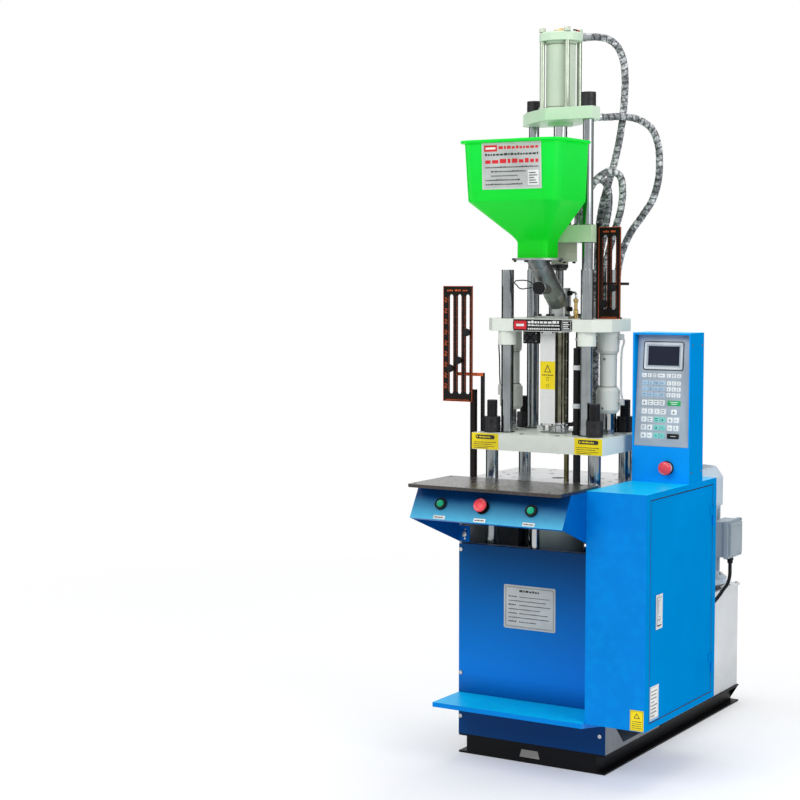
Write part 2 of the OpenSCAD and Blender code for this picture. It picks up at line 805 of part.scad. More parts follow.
// Cabinet shell with a rebated door frame and two hinge pins
module cabinet_shell() {
    rim = 10;
    color([0.0, 0.52, 0.88]) {
        difference() {
            block_between([cab_x0, cab_y0, cabinet_z], [cab_x1, cab_y1, cab_z1]);
            difference() {
                block_between([cab_x0 + sheet, cab_y0 + sheet, cabinet_z + sheet],
                    [cab_x1 - sheet, cab_y1 - sheet, cab_z1 - sheet]);
                difference() {
                    block_between([cab_x1 - 6, door_y0 - 4, door_z0 - 4],
                        [cab_x1 - sheet, door_y1 + 4, door_z1 + 4]);
                    block_between([cab_x1 - 9, door_y0 + rim, door_z0 + rim],
                        [cab_x1 + 1, door_y1 - rim, door_z1 - rim]);
                    block_between([cab_x1 - sheet - gap, door_y0 - 9, door_z0 - 9],
                        [cab_x1 + 1, door_y1 + 9, door_z1 + 9]);
                }
            }
            block_between([cab_x1 - sheet - gap, door_y0 - door_gap, door_z0 - door_gap],
                [cab_x1 + 1, door_y1 + door_gap, door_z1 + door_gap]);
            block_between([cab_x1 - 9, door_y0 + rim, door_z0 + rim],
                [cab_x1 + 1, door_y1 - rim, door_z1 - rim]);
            translate([cab_x0 + 90, cab_y1 + 1, 410]) rotate([90, 0, 0]) cylinder(r = 8, h = 5);
            on_box_front() rod(8, -sheet - 1, 1);
            for (z = hinge_z) translate([hinge_x, hinge_y, 0]) rod(4.5 + gap, z - 0.5, z + 28.5);
        }
        for (z = hinge_z) {
            block_between([cab_x1, hinge_y, z - 30], [hinge_x + 1, hinge_y + 18, z - 1]);
            translate([hinge_x, hinge_y, 0]) rod(2.5, z - 30, z + 28);
            translate([hinge_x, hinge_y, 0]) rod(4.5, z - 30, z - 1);
        }
    }
    color([0.1, 0.1, 0.1]) translate([335, cab_y1, 410]) rotate([-90, 0, 0]) {
        cylinder(r = 12, h = 8);
        cylinder(r = 9, h = 20 - gap);
    }
}

// Mounting plate with contactors, breakers, a controller and a transformer
module switchgear() {
    x0 = cab_x0 + sheet;
    color([0.7, 0.7, 0.7]) block_between([x0, -270, 230], [x0 + 3, 150, 800]);
    color([0.2, 0.2, 0.22]) {
        for (k = [0:5]) block_between([x0 + 3, -250 + 62 * k, 640], [x0 + 80, -200 + 62 * k, 725]);
        for (k = [0:3]) block_between([x0 + 3, -250 + 96 * k, 490], [x0 + 92, -175 + 96 * k, 580]);
        block_between([x0 + 3, -220, 250], [x0 + 110, -80, 370]);
        block_between([x0 + 3, -20, 250], [x0 + 60, 120, 400]);
    }
}

// Hooded control box with a sloped seat for the keypad
module control_box() {
    y_panel = box_y0 + 3;
    seat = [[box_y0 - 1, key_z0], [y_panel, key_z0], [y_panel + key_lean, key_z1], [box_y0 - 1, key_z1]];
    t = sheet;
    inside = [
        [box_y0 + t, box_z0 + t], [box_y0 + t, key_z0 - t], [y_panel + t, key_z0 - t],
        [y_panel + key_lean + t, key_z1 + t], [box_y1 - t, key_z1 + t], [box_y1 - t, box_z0 + t]
    ];
    color([0.02, 0.42, 0.75]) difference() {
        block_between([box_x0, box_y0, box_z0], [box_x1, box_y1, box_z1]);
        along_x(box_x0 + 6, box_x1 - 4) polygon(seat);
        along_x(box_x0 + t, box_x1 - t) polygon(inside);
        on_box_front() rod(8 + gap, -t - 1, 1);
    }
}

// Grey membrane keypad plate with raised keys
module keypad_panel() {
    rows = 8;
    columns = 6;
    pitch = [24, 22];
    color([0.72, 0.73, 0.75]) on_keypad() difference() {
        union() {
            translate([gap, gap, gap]) cube([key_w + 2 - 2 * gap, key_h - 2 * gap, 2]);
            for (i = [0:columns - 1], j = [0:rows - 1])
                translate([14 + pitch[0] * i, 20 + pitch[1] * j, 2]) cube([19, 13, 1]);
        }
        translate([24, key_h - 107, 1.2]) cube([key_w - 60, 78, 5]);
    }
}

// Dark display window in the keypad plate
module display_screen() {
    color([0.05, 0.07, 0.09]) on_keypad()
        translate([24 + gap, key_h - 107 + gap, 1.2]) cube([key_w - 60 - 2 * gap, 78 - 2 * gap, 2]);
}

// Collars of the emergency stops and bezels of the push buttons
module control_bases() {
    color([0.08, 0.08, 0.08]) {
        for (x = button_x) on_face(x) difference() {
            rod(17.5, 0, 8);
            rod(button_d / 2 + gap, -1, 9);
        }
        on_face(stop_x) difference() {
            rod(16, 0, 8);
            rod(8 + gap, -1, 9);
        }
    }
    color([0.85, 0.85, 0.85]) on_box_front() difference() {
        rod(16, 0, 8);
        rod(8 + gap, -1, 9);
    }
}

// Mushroom head with its stem, along +Z
module stop_head() {
    r = stop_d / 2;
    color([0.85, 0.08, 0.12]) {
        rod(8, -5, 8 + head_gap);
        translate([0, 0, 8 + head_gap]) rotate_extrude()
            polygon([[0, 0], [r * 0.7, 0], [r, 5], [r, 9], [r * 0.86, 12.5], [r * 0.5, 14.5], [0, 15]]);
    }
}

// Emergency stop head on the console
module stop_head_console() {
    on_face(stop_x) stop_head();
}

// Emergency stop head on the control box
module stop_head_box() {
    on_box_front() stop_head();
}

// Round push button cap, along +Z
module button_cap() {
    color([0.05, 0.62, 0.38]) {
        rod(button_d / 2, -5, 10);
        translate([0, 0, 10]) cylinder(r1 = button_d / 2, r2 = button_d / 2 - 1.5, h = 1.5);
    }
}

// Left two-hand start button
module start_button_left() {
    on_face(button_x[0]) button_cap();
}

// Right two-hand start button
module start_button_right() {
    on_face(button_x[1]) button_cap();
}

// Slotted plate of a ruler, standing in XZ with its lower left corner at the origin
module ruler_plate(w, h, slots, z0, z1) {
    difference() {
        cube([w, ruler_t, h]);
        for (x = slots) {
            block_between([x - slot_w / 2, -1, z0], [x + slot_w / 2, ruler_t + 1, z1]);
            for (z = [z0, z1]) translate([x, -1, z]) rotate([-90, 0, 0])
                cylinder(r = slot_w / 2, h = ruler_t + 2);
        }
    }
}

// Stop dog of a ruler: a clamping knob, its screw through the slot and a block behind
module ruler_dog() {
    color([0.12, 0.12, 0.13]) {
        translate([0, -gap, 0]) rotate([90, 0, 0]) cylinder(r = 12, h = 10);
        translate([0, -gap - 1, 0]) rotate([-90, 0, 0])
            cylinder(r = slot_w / 2 - 2.5, h = ruler_t + 2 * gap + 2);
        translate([-7, ruler_t + gap, -7]) cube([14, 5, 14]);
    }
}

// Places a stop dog in slot k of the left ruler
module left_dog(k) {
    translate([ruler_x1 - ruler_w + left_slots[k], post_y - ruler_t, ruler_z0 + left_dogs[k]])
        ruler_dog();
}

// Places a stop dog in slot k of the right ruler
module right_dog(k) {
    translate([ruler2_x0 + right_slots[k], ruler2_y, z_mid_top + right_dogs[k]]) ruler_dog();
}

// Stop dog in the outer slot of the left ruler
module dog_left_a() {
    left_dog(0);
}

// Stop dog in the middle slot of the left ruler
module dog_left_b() {
    left_dog(1);
}

// Stop dog in the inner slot of the left ruler
module dog_left_c() {
    left_dog(2);
}

// Stop dog in the inner slot of the right ruler
module dog_right_a() {
    right_dog(0);
}

// Stop dog in the outer slot of the right ruler
module dog_right_b() {
    right_dog(1);
}

// Left ruler on its post
module ruler_left() {
    y = post_y - ruler_t;
    x0 = ruler_x1 - ruler_w;
    color([0.09, 0.08, 0.08]) {
        block_between([post_x, post_y, z_lower], [post_x + post_w, post_y + post_d, z_lower + post_h]);
        translate([x0, y, ruler_z0])
            ruler_plate(ruler_w, ruler_h, left_slots, 30, ruler_h - 32);
    }
}

// Spec plate, name plate and coloured fields
module label_plates() {
    t = 0.8;
    y = -body_front - t;
    color([0.75, 0.77, 0.78]) block_between([-90, y, 402], [82, y + t, 533]);
    color([0.9, 0.82, 0.1]) block_between([cab_x1 - 45, cab_y0 - t, cabinet_z + 2],
        [cab_x1 - 4, cab_y0, cabinet_z + 60]);
}

// Moving platen with its nozzle opening, bolt holes and seats for the columns
module moving_platen() {
    color([0.85, 0.86, 0.84]) difference() {
        block_between([-half_platen, -platen_d / 2, z_platen], [half_platen, platen_d / 2, z_deck]);
        rod(nozzle_hole_r, z_platen - 1, z_deck + 1);
        at_ties() rod(tie_end_d / 2 + fit, z_platen - 1, z_deck + 1);
        at_columns() rod(col_d / 2 + fit, z_deck - 35, z_deck + 1);
        at_seats() rod(seat_rod_r + fit, z_deck - 30, z_deck + 1);
        at_corners(bolt_a) rod(bolt_r, z_platen - 1, z_platen + 30);
        at_corners(bolt_b) rod(bolt_r, z_platen - 1, z_platen + 30);
        translate(rod_a) rod(rod_a_r + fit, z_platen - 1, z_platen + 30);
        translate(rod_b) rod(rod_b_r + fit, z_platen - 1, z_deck + 1);
    }
    color([0.6, 0.62, 0.64]) difference() {
        block_between([block[0], block[1], z_deck],
            [block[0] + block[2], block[1] + block[3], z_deck + block[4]]);
        for (x = [70, 100]) translate([x, block[1] + 8, 0])
            rod(3.5, z_deck + 10, z_deck + block[4] + 1);
    }
    color([0.6, 0.62, 0.64]) {
        for (x = [55, 85, 115]) translate([x, 135, z_deck + block[4]]) fitting(24 - gap);
        translate([85, block[1] + block[3], z_deck + 16]) rotate([-90, 0, 0]) fitting(23 - gap);
    }
}

// Four tie bars with a shoulder under the platen and above the crosshead
module tie_bars() {
    top = z_deck + tie_nut_h + tie_end_h;
    color([0.75, 0.78, 0.8]) at_ties() {
        rod(tie_d / 2, cross_z + cross_t, z_platen);
        rod(tie_end_d / 2, z_platen, top);
        rod(tie_end_d / 2, cross_z - 32, cross_z + cross_t);
    }
}

// Round nuts on the tie bars and on the tall columns
module tie_bar_nuts() {
    color([0.06, 0.06, 0.07]) {
        at_ties() difference() {
            union() {
                rod(tie_nut_d / 2, z_deck, z_deck + tie_nut_h);
                rod(tie_nut_d / 2, cross_z - 30, cross_z);
            }
            rod(tie_end_d / 2 + fit, z_deck - 1, z_deck + tie_nut_h + 1);
            rod(tie_end_d / 2 + fit, cross_z - 31, cross_z + 1);
        }
        at_tall() difference() {
            rod(22, z_cyl, z_cyl + 42);
            rod(col_neck_d / 2 - 3 + fit, z_cyl - 1, z_cyl + 36);
        }
    }
}

// Four guide columns, two of them tall with a thinner upper part
module guide_columns() {
    shoulder = z_deck + col_h;
    color([0.76, 0.78, 0.8]) {
        at_columns() rod(col_d / 2, z_deck - 35, shoulder);
        at_tall() rod(col_neck_d / 2, shoulder, z_top);
        at_tall() rod(col_neck_d / 2 - 3, z_top, z_cyl + 34);
    }
}

// Top plate that carries the injection cylinder
module top_plate() {
    color([0.84, 0.87, 0.84]) difference() {
        union() {
            translate([0, 0, z_top]) linear_extrude(top_t) diagonal_plate(117, 160, 62, 0.91);
            rod(38, z_top - 10, z_top);
        }
        rod(rod_r + fit, z_top - 11, z_cyl + 1);
        at_tall() rod(col_neck_d / 2 - 3 + fit, z_top - 1, z_cyl + 1);
        for (p = [-1, 1], q = [-1, 1]) translate([41 * p, 41 * q, 0])
            rod(7.5 + fit, z_cyl - 20, z_cyl + 1);
    }
    color([0.6, 0.62, 0.64]) translate([base_port[0], base_port[1], z_top + top_t / 2])
        rotate([0, 90, 47.7]) translate([0, 0, -33.2]) fitting(33.2 - gap);
}

// Covers of the pump motor: the fan cowl and the terminal box
module motor_covers() {
    fan_cowl();
    terminal_box();
}

// Front sheet and covers of the body
module body_panels() {
    front_panel();
    cover_panels();
}

// Covers of the barrel: the bright tube and the flat guard
module barrel_covers() {
    barrel_cover();
    barrel_guard();
}

// Injection cylinder with its cap
module injection_cylinder() {
    cylinder_tube();
    cylinder_cap();
}

// Tube of the injection cylinder
module cylinder_tube() {
    color([0.82, 0.86, 0.80]) difference() {
        rod(cyl_r, z_cyl, z_cap);
        rod(cyl_r - 9, z_cyl - 1, z_cap + 1);
    }
}

// Round cap of the injection cylinder, with its fittings
module cylinder_cap() {
    color([0.84, 0.86, 0.83]) difference() {
        union() {
            rod(cap_r, z_cap, z_cap + cap_t - 4);
            translate([0, 0, z_cap + cap_t - 4]) cylinder(r1 = cap_r, r2 = cap_r - 5, h = 4);
        }
        for (p = [-1, 1], q = [-1, 1]) translate([41 * p, 41 * q, 0])
            rod(6 + fit, z_cap - 1, z_cap + cap_t + 1);
    }
    color([0.75, 0.6, 0.35]) translate([0, 0, z_cap + cap_t]) {
        cylinder(r = 8, h = 14, $fn = 6);
        translate([18, 10, 0]) cylinder(r = 7, h = 12);
    }
    color([0.6, 0.62, 0.64]) translate([0, 0, z_cap + cap_t / 2 + 1])
        rotate([0, 90, atan2(cap_port[1], cap_port[0])]) translate([0, 0, cap_r - 2])
            fitting(norm(cap_port) - cap_r + 2 - gap);
}

// Studs that clamp the cylinder cap, with their nuts
module cylinder_studs() {
    color([0.80, 0.83, 0.78]) for (p = [-1, 1], q = [-1, 1]) translate([41 * p, 41 * q, 0]) {
        rod(7.5, z_cyl - 20, z_cap);
        rod(6, z_cap, z_cap + cap_t);
        translate([0, 0, z_cap + cap_t]) cylinder(r = 11, h = 12, $fn = 6);
    }
}

// Crosshead that joins the tie bars under the lower platen
module crosshead() {
    w = tie_x + 30;
    color([0.3, 0.31, 0.33]) difference() {
        union() {
            for (s = [-1, 1]) scale([s, 1, 1])
                block_between([tie_x - 30, -tie_y - 30, cross_z], [w, tie_y + 30, cross_z + cross_t]);
            block_between([-w, -60, cross_z], [w, 60, cross_z + cross_t]);
        }
        at_ties() rod(tie_end_d / 2 + fit, cross_z - 1, cross_z + cross_t + 1);
    }
}

// Piston rods of the clamp and seat cylinders, and the mould height rods
module cylinder_rods() {
    piston_z = body_top - clamp_len + 25 + clamp_down + 1;
    color([0.8, 0.82, 0.84]) {
        rod(clamp_rod_r, cross_z + cross_t, piston_z);
        rod(clamp_bore_r - 0.5, piston_z, piston_z + piston_t);
        at_seats() {
            rod(seat_rod_r, z_deck - 30, z_deck + seat_up + 86);
            rod(seat_tube_r - 5.5, z_deck + seat_up + 86, z_deck + seat_up + 104);
        }
        translate(rod_a) rod(rod_a_r, z_lower - 6, z_platen + 30);
        translate(rod_b) rod(rod_b_r, z_lower - 6, z_deck + 258);
    }
}

// Pointer that stands on the moving platen and reads the left ruler
module clamp_pointer() {
    x = -half_platen + 4;
    y = -103;
    color([0.07, 0.07, 0.07]) {
        block_between([x, y, z_deck], [x + 12, y + 6, z_deck + 172]);
        block_between([x, y + 6, z_deck], [x + 12, y + 18, z_deck + 6]);
        block_between([-302, post_y + post_d + 4, z_deck + 168], [x + 12, post_y + post_d + 6, z_deck + 178]);
        block_between([x, post_y + post_d + 6, z_deck + 168], [x + 12, y + 6, z_deck + 178]);
    }
}

// Middle plate that carries the barrel and slides on the columns
module mid_plate() {
    boss_r = 27.5;
    outline = [
        [166, -117], [205, -66], [205, 66], [166, 117], [-166, 117], [-205, 66], [-205, -66],
        [-166, -117]
    ];
    color([0.85, 0.86, 0.84]) difference() {
        union() {
            translate([0, 0, z_mid]) linear_extrude(mid_t) polygon(outline);
            at_columns() rod(boss_r, z_mid - 42, z_mid);
        }
        at_columns() rod(col_d / 2 + fit, z_mid - 43, z_mid_top + 1);
        rod(barrel_r + fit, z_mid - 1, z_mid_top + 1);
        at_seats() rod(8, z_mid - 1, z_mid + 25);
    }
    color([0.6, 0.62, 0.64]) {
        block_between([ports[0], ports[1], z_mid_top],
            [ports[0] + ports[2], ports[1] + ports[3], z_mid_top + ports[4]]);
        for (x = [70, 94]) translate([x, 104, z_mid_top + ports[4]]) fitting(24 - gap);
        translate([20, 100, z_mid]) rotate([180, 0, 0]) fitting(24 - gap);
    }
}

// Seat cylinders that hang under the middle plate
module seat_cylinders() {
    mount_z = z_mid - 66;
    cap_z = z_deck + 142;
    foot_z = z_deck + 64;
    color([0.84, 0.86, 0.85]) at_seats() difference() {
        rotate_extrude() polygon([
            [0, foot_z], [27, foot_z], [35, foot_z + 10], [35, cap_z - 10], [28, cap_z],
            [seat_tube_r, cap_z], [seat_tube_r, mount_z], [28, mount_z], [32, mount_z + 12],
            [32, z_mid], [0, z_mid]
        ]);
        rod(seat_tube_r - 5, foot_z + 20, z_mid - 25);
        rod(seat_rod_r + fit, foot_z - 1, foot_z + 21);
    }
}

// Barrel with its nozzle
module barrel() {
    ring_z = z_deck - 2;
    tip_z = z_platen - 17;
    color([0.7, 0.7, 0.72]) difference() {
        union() {
            rod(barrel_r, ring_z + 23, z_mid_top);
            rod(30, ring_z, ring_z + 23);
            translate([0, 0, ring_z - 22]) cylinder(r1 = 14, r2 = 24, h = 22);
            rod(14, tip_z + 14, ring_z - 22);
            translate([0, 0, tip_z]) cylinder(r1 = 6, r2 = 14, h = 14);
        }
        rod(screw_r + fit, ring_z - 6, z_mid_top + 1);
        rod(2, tip_z - 1, ring_z - 5);
    }
}

// Bright tube around the heater bands, closed by a ring at each end
module barrel_cover() {
    z0 = z_deck + 24;
    color([0.75, 0.74, 0.7]) difference() {
        rod(cover_r, z0, z_mid - gap);
        rod(barrel_r + gap, z0 - 1, z_mid);
        rod(cover_r - 1.5, z0 + 12, z_mid - 14);
    }
}

// Flat guard plate in front of the barrel, folded at its top
module barrel_guard() {
    z0 = z_deck + 24;
    color([0.83, 0.83, 0.84]) {
        block_between([-27, -72, z0], [23, -70.5, z_mid - gap]);
        block_between([-27, -70.5, z_mid - 2], [23, -40, z_mid - gap]);
    }
}

// Cast feed throat with its chute, cleaning port and hopper flange
module feed_throat() {
    color([0.52, 0.53, 0.54]) difference() {
        union() {
            block_between([-56, -52, z_mid_top], [56, 52, z_mid_top + 7]);
            rod(throat_r, z_mid_top, z_mid_top + 91);
            intersection() {
                translate([0, 0, chute_foot]) rotate([0, chute_pitch, chute_turn])
                    rotate([0, 0, 90]) cylinder(r = chute_r, h = chute_len + 60);
                translate([-200, -300, 0]) cube([400, 600, z_flange + 3]);
            }
            translate([hopper_x, neck_y, z_flange]) cylinder(r = 75, h = 6);
            translate([4, port_y, port_z]) rotate([-90, 0, 0]) cylinder(r = port_r, h = 60);
        }
        rod(screw_r + fit, z_mid_top - 1, z_mid_top + 92);
        translate([0, 0, chute_foot]) rotate([0, chute_pitch, chute_turn])
            rotate([0, 0, 90]) cylinder(r = chute_bore_r, h = chute_len + 60);
        translate([4, port_y - 1, port_z]) rotate([-90, 0, 0]) cylinder(r = port_r - 5, h = 60);
        for (sx = [-1, 1], sy = [-1, 1]) translate([45 * sx, 42 * sy, 0])
            rod(4.5, z_mid_top - 1, z_mid_top + 8);
    }
    color([0.05, 0.05, 0.05]) translate([4, port_y - gap, port_z]) rotate([90, 0, 0]) {
        cylinder(r = port_r + 1, h = 8);
        rotate([180, 0, 0]) cylinder(r = port_r - 5 - gap, h = 14);
    }
}

// Translucent hopper, open at its top
module hopper() {
    z_rim = z_hopper + hopper_h;
    lip = 12;
    color([0.0, 0.85, 0.2, 0.85]) difference() {
        union() {
            hopper_form(0, 0);
            ring_stack([for (z = [z_rim - 8, z_rim])
                hopper_ring(hopper_w + 2 * lip, hopper_d + lip, hopper_corner + lip, z, 0)]);
        }
        hopper_form(hopper_wall, 1);
    }
}

// Right ruler on two feet, with its post
module ruler_right() {
    z0 = z_mid_top;
    color([0.09, 0.08, 0.08]) {
        translate([ruler2_x0, ruler2_y, z0])
            ruler_plate(ruler2_w, ruler2_h, right_slots, 34, ruler2_h - 30);
        for (x = [ruler2_x0 + 2, ruler2_x0 + ruler2_w - 16])
            block_between([x, ruler2_y + ruler_t, z0], [x + 14, ruler2_y + ruler_t + 14, z0 + 5]);
        block_between([ruler2_x0 - 8.5, ruler2_y, z0],
            [ruler2_x0 + 0.5, ruler2_y + ruler_t + 4, z0 + ruler2_h + 12]);
    }
}

// Motor plate that slides on the tall columns
module motor_plate() {
    arm_z = z_mid_top + 108;
    color([0.84, 0.87, 0.84]) difference() {
        translate([0, 0, z_motor]) linear_extrude(motor_t) diagonal_plate(112, 157, 76, 0.8444);
        at_tall() rod(col_neck_d / 2 + fit, z_motor - 1, z_motor_top + 1);
    }
    color([0.6, 0.62, 0.64]) {
        translate([62, 28, z_motor_top]) fitting(24 - gap);
        translate([30, 62, z_motor_top]) fitting(24 - gap);
    }
    color([0.1, 0.09, 0.08]) {
        block_between([88, 12, arm_z], [96, 16, z_motor]);
        block_between([88, 12, arm_z - 8], [ruler2_x0 + ruler2_w + 22, 16, arm_z]);
    }
}

// Hydraulic motor that turns the screw
module hydraulic_motor() {
    color([0.5, 0.52, 0.5]) {
        rod(52, z_motor - 56, z_motor);
        rod(26, z_motor - 64, z_motor - 56);
    }
}

// Injection piston rod, from the motor plate into the cylinder
module piston_rod() {
    piston_z = z_cyl + inject_down + 7;
    color([0.78, 0.8, 0.82]) {
        rod(rod_r, z_motor_top, piston_z);
        rod(cyl_r - 9.5, piston_z, piston_z + piston_t);
        difference() {
            rod(34, z_motor_top, z_motor_top + 12);
            rod(rod_r - 1, z_motor_top - 1, z_motor_top + 13);
        }
    }
}

// Screw with its coupling
module screw() {
    z1 = z_motor - 64 - gap;
    z_tip = z_deck + 70;
    color([0.3, 0.31, 0.32]) {
        rod(screw_r, z_tip, z1 - 18);
        translate([0, 0, z_tip - 20]) cylinder(r1 = 2, r2 = screw_r, h = 20);
        translate([0, 0, z1 - 18]) cylinder(r1 = 20, r2 = 26, h = 10);
        rod(26, z1 - 8, z1);
    }
}

// Cabinet door with folded edges and its hinge knuckles
module cabinet_door() {
    x1 = cab_x1;
    x0 = cab_x1 - sheet;
    color([0.12, 0.56, 0.82]) difference() {
        union() {
            block_between([x0, door_y0, door_z0], [x1, door_y1, door_z1]);
            for (z = hinge_z) {
                translate([hinge_x, hinge_y, 0]) rod(4.5, z, z + 28);
                block_between([x1 - 0.5, hinge_y - 22, z], [x1 + 2, hinge_y, z + 28]);
            }
            block_between([x1, handle_y - 8, handle_z - 12],
                [x1 + 3, handle_y + handle_w + 8, handle_z + handle_h + 9]);
        }
        for (z = hinge_z) translate([hinge_x, hinge_y, 0]) {
            rod(2.5 + fit, z - 1, z + 29);
            rod(4.5 + gap, z - 30.5, z - 0.5);
        }
        block_between([x1 - 3, handle_y - 1, handle_z - 4],
            [x1 + 4, handle_y + handle_w + 1, handle_z + handle_h + 1]);
        handle_pin(1.5 + fit, 4);
    }
}

// Pin of the door handle, longer than the handle by over at both ends
module handle_pin(r, over) {
    translate([cab_x1 + 0.5, handle_y + handle_w + over, handle_z + 4]) rotate([90, 0, 0])
        cylinder(r = r, h = handle_w + 2 * over);
}

// Flush pull handle in the door's lock
module door_handle() {
    color([0.85, 0.86, 0.88]) {
        block_between([cab_x1 - 1, handle_y, handle_z],
            [cab_x1 + 4, handle_y + handle_w, handle_z + handle_h]);
        handle_pin(1.5, 3.5);
    }
}

// Rod of the ejector cylinder
module ejector_rod() {
    color([0.82, 0.83, 0.85]) translate([0, -ejector_y, 0]) {
        rod(ejector_r, panel_top - 100, z_lower - 2);
        rod(19.5, panel_top - 120, panel_top - 100);
    }
}

// Hose from the cap of the injection cylinder
module hose_cap() {
    color([0.7, 0.7, 0.72]) swept(hose_cap_route, hose_d, 8, [0.53, -0.85, 0]);
}

// Hose from the foot of the injection cylinder
module hose_base() {
    color([0.7, 0.7, 0.72]) swept(hose_base_route, hose_d, 8, [0.53, -0.85, 0]);
}

// First hose of the screw's motor
module hose_motor_a() {
    color([0.7, 0.7, 0.72]) swept(hose_motor_a_route, hose_d, 8, [0.53, -0.85, 0]);
}

// Second hose of the screw's motor
module hose_motor_b() {
    color([0.7, 0.7, 0.72]) swept(hose_motor_b_route, hose_d, 8, [0.53, -0.85, 0]);
}

// Hose between the middle plate and the moving platen
module hose_seat() {
    color([0.7, 0.7, 0.72]) swept(hose_seat_route, hose_d, 8, [0.53, -0.85, 0]);
}

// Hose between the moving platen and the valve block
module hose_main() {
    color([0.7, 0.7, 0.72]) swept(hose_main_route, hose_d, 8, [1, 0, 0]);
}

// Cable between the motor and the cabinet
module motor_cable() {
    color([0.06, 0.06, 0.06]) swept(motor_cable_route, cable_d, 8, [1, 0, 0]);
}

base_frame();
body_frame();
body_panels();
foot_shelf();
lower_platen();
work_table();
console_box();
platen_cylinders();
oil_tank();
pump_motor();
motor_covers();
valve_manifold();
cabinet_shell();
switchgear();
control_box();
keypad_panel();
display_screen();
control_bases();
ruler_left();
label_plates();
moving_platen();
tie_bars();
tie_bar_nuts();
guide_columns();
top_plate();
injection_cylinder();
cylinder_studs();
crosshead();
cylinder_rods();
clamp_pointer();
mid_plate();
seat_cylinders();
barrel();
barrel_covers();
feed_throat();
hopper();
ruler_right();
motor_plate();
hydraulic_motor();
piston_rod();
screw();
cabinet_door();
door_handle();
stop_head_console();
stop_head_box();
start_button_left();
start_button_right();
ejector_rod();
dog_left_a();
dog_left_b();
dog_left_c();
dog_right_a();
dog_right_b();
hose_cap();
hose_base();
hose_motor_a();
hose_motor_b();
hose_seat();
hose_main();
motor_cable();
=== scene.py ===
"""Looks of the vertical injection moulding machine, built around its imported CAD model."""
import json
import math

import bmesh
import bpy
from mathutils import Matrix, Vector

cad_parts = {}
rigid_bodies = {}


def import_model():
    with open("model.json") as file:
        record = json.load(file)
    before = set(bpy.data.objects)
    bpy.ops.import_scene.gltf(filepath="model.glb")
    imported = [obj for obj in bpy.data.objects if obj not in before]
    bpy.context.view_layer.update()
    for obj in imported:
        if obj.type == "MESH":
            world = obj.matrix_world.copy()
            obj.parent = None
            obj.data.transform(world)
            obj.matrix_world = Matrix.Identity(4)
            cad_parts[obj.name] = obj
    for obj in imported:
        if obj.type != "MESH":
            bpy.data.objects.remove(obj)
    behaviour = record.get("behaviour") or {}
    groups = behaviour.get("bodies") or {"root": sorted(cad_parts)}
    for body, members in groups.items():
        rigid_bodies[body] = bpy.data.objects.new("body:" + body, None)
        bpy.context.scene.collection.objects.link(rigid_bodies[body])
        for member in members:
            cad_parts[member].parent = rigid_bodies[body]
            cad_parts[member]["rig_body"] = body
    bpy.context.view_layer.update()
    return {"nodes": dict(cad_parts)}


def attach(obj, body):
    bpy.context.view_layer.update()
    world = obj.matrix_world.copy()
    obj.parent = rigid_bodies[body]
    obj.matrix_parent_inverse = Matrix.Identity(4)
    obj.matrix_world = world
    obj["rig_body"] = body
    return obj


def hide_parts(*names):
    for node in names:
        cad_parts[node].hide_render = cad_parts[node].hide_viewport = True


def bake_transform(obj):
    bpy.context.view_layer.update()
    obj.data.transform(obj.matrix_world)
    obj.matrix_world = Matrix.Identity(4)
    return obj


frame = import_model()
rad, cos, sin, pi = math.radians, math.cos, math.sin, math.pi
scene = bpy.context.scene

# ---------------------------------------------------------------- camera, fitted to the photograph
cam_data = bpy.data.cameras.new("camera")
cam_data.sensor_width, cam_data.lens = 36.0, 79.18
cam_data.clip_start, cam_data.clip_end = 0.05, 100.0
cam = bpy.data.objects.new("camera", cam_data)
scene.collection.objects.link(cam)
cam.location = (2.3955, -4.7645, 1.4512)
cam.rotation_euler = (rad(90 - 4.0327), 0, rad(31.8624))
scene.camera = cam


# ---------------------------------------------------------------- materials
def lin(c):
    """Linear colour of an sRGB one given as 0-255."""
    return (*(v / 255 / 12.92 if v / 255 <= 0.04045 else ((v / 255 + 0.055) / 1.055) ** 2.4 for v in c), 1.0)


def tint(c, k):
    """An sRGB colour made lighter or darker, and then linear."""
    return lin([max(0, min(255, v * k)) for v in c])


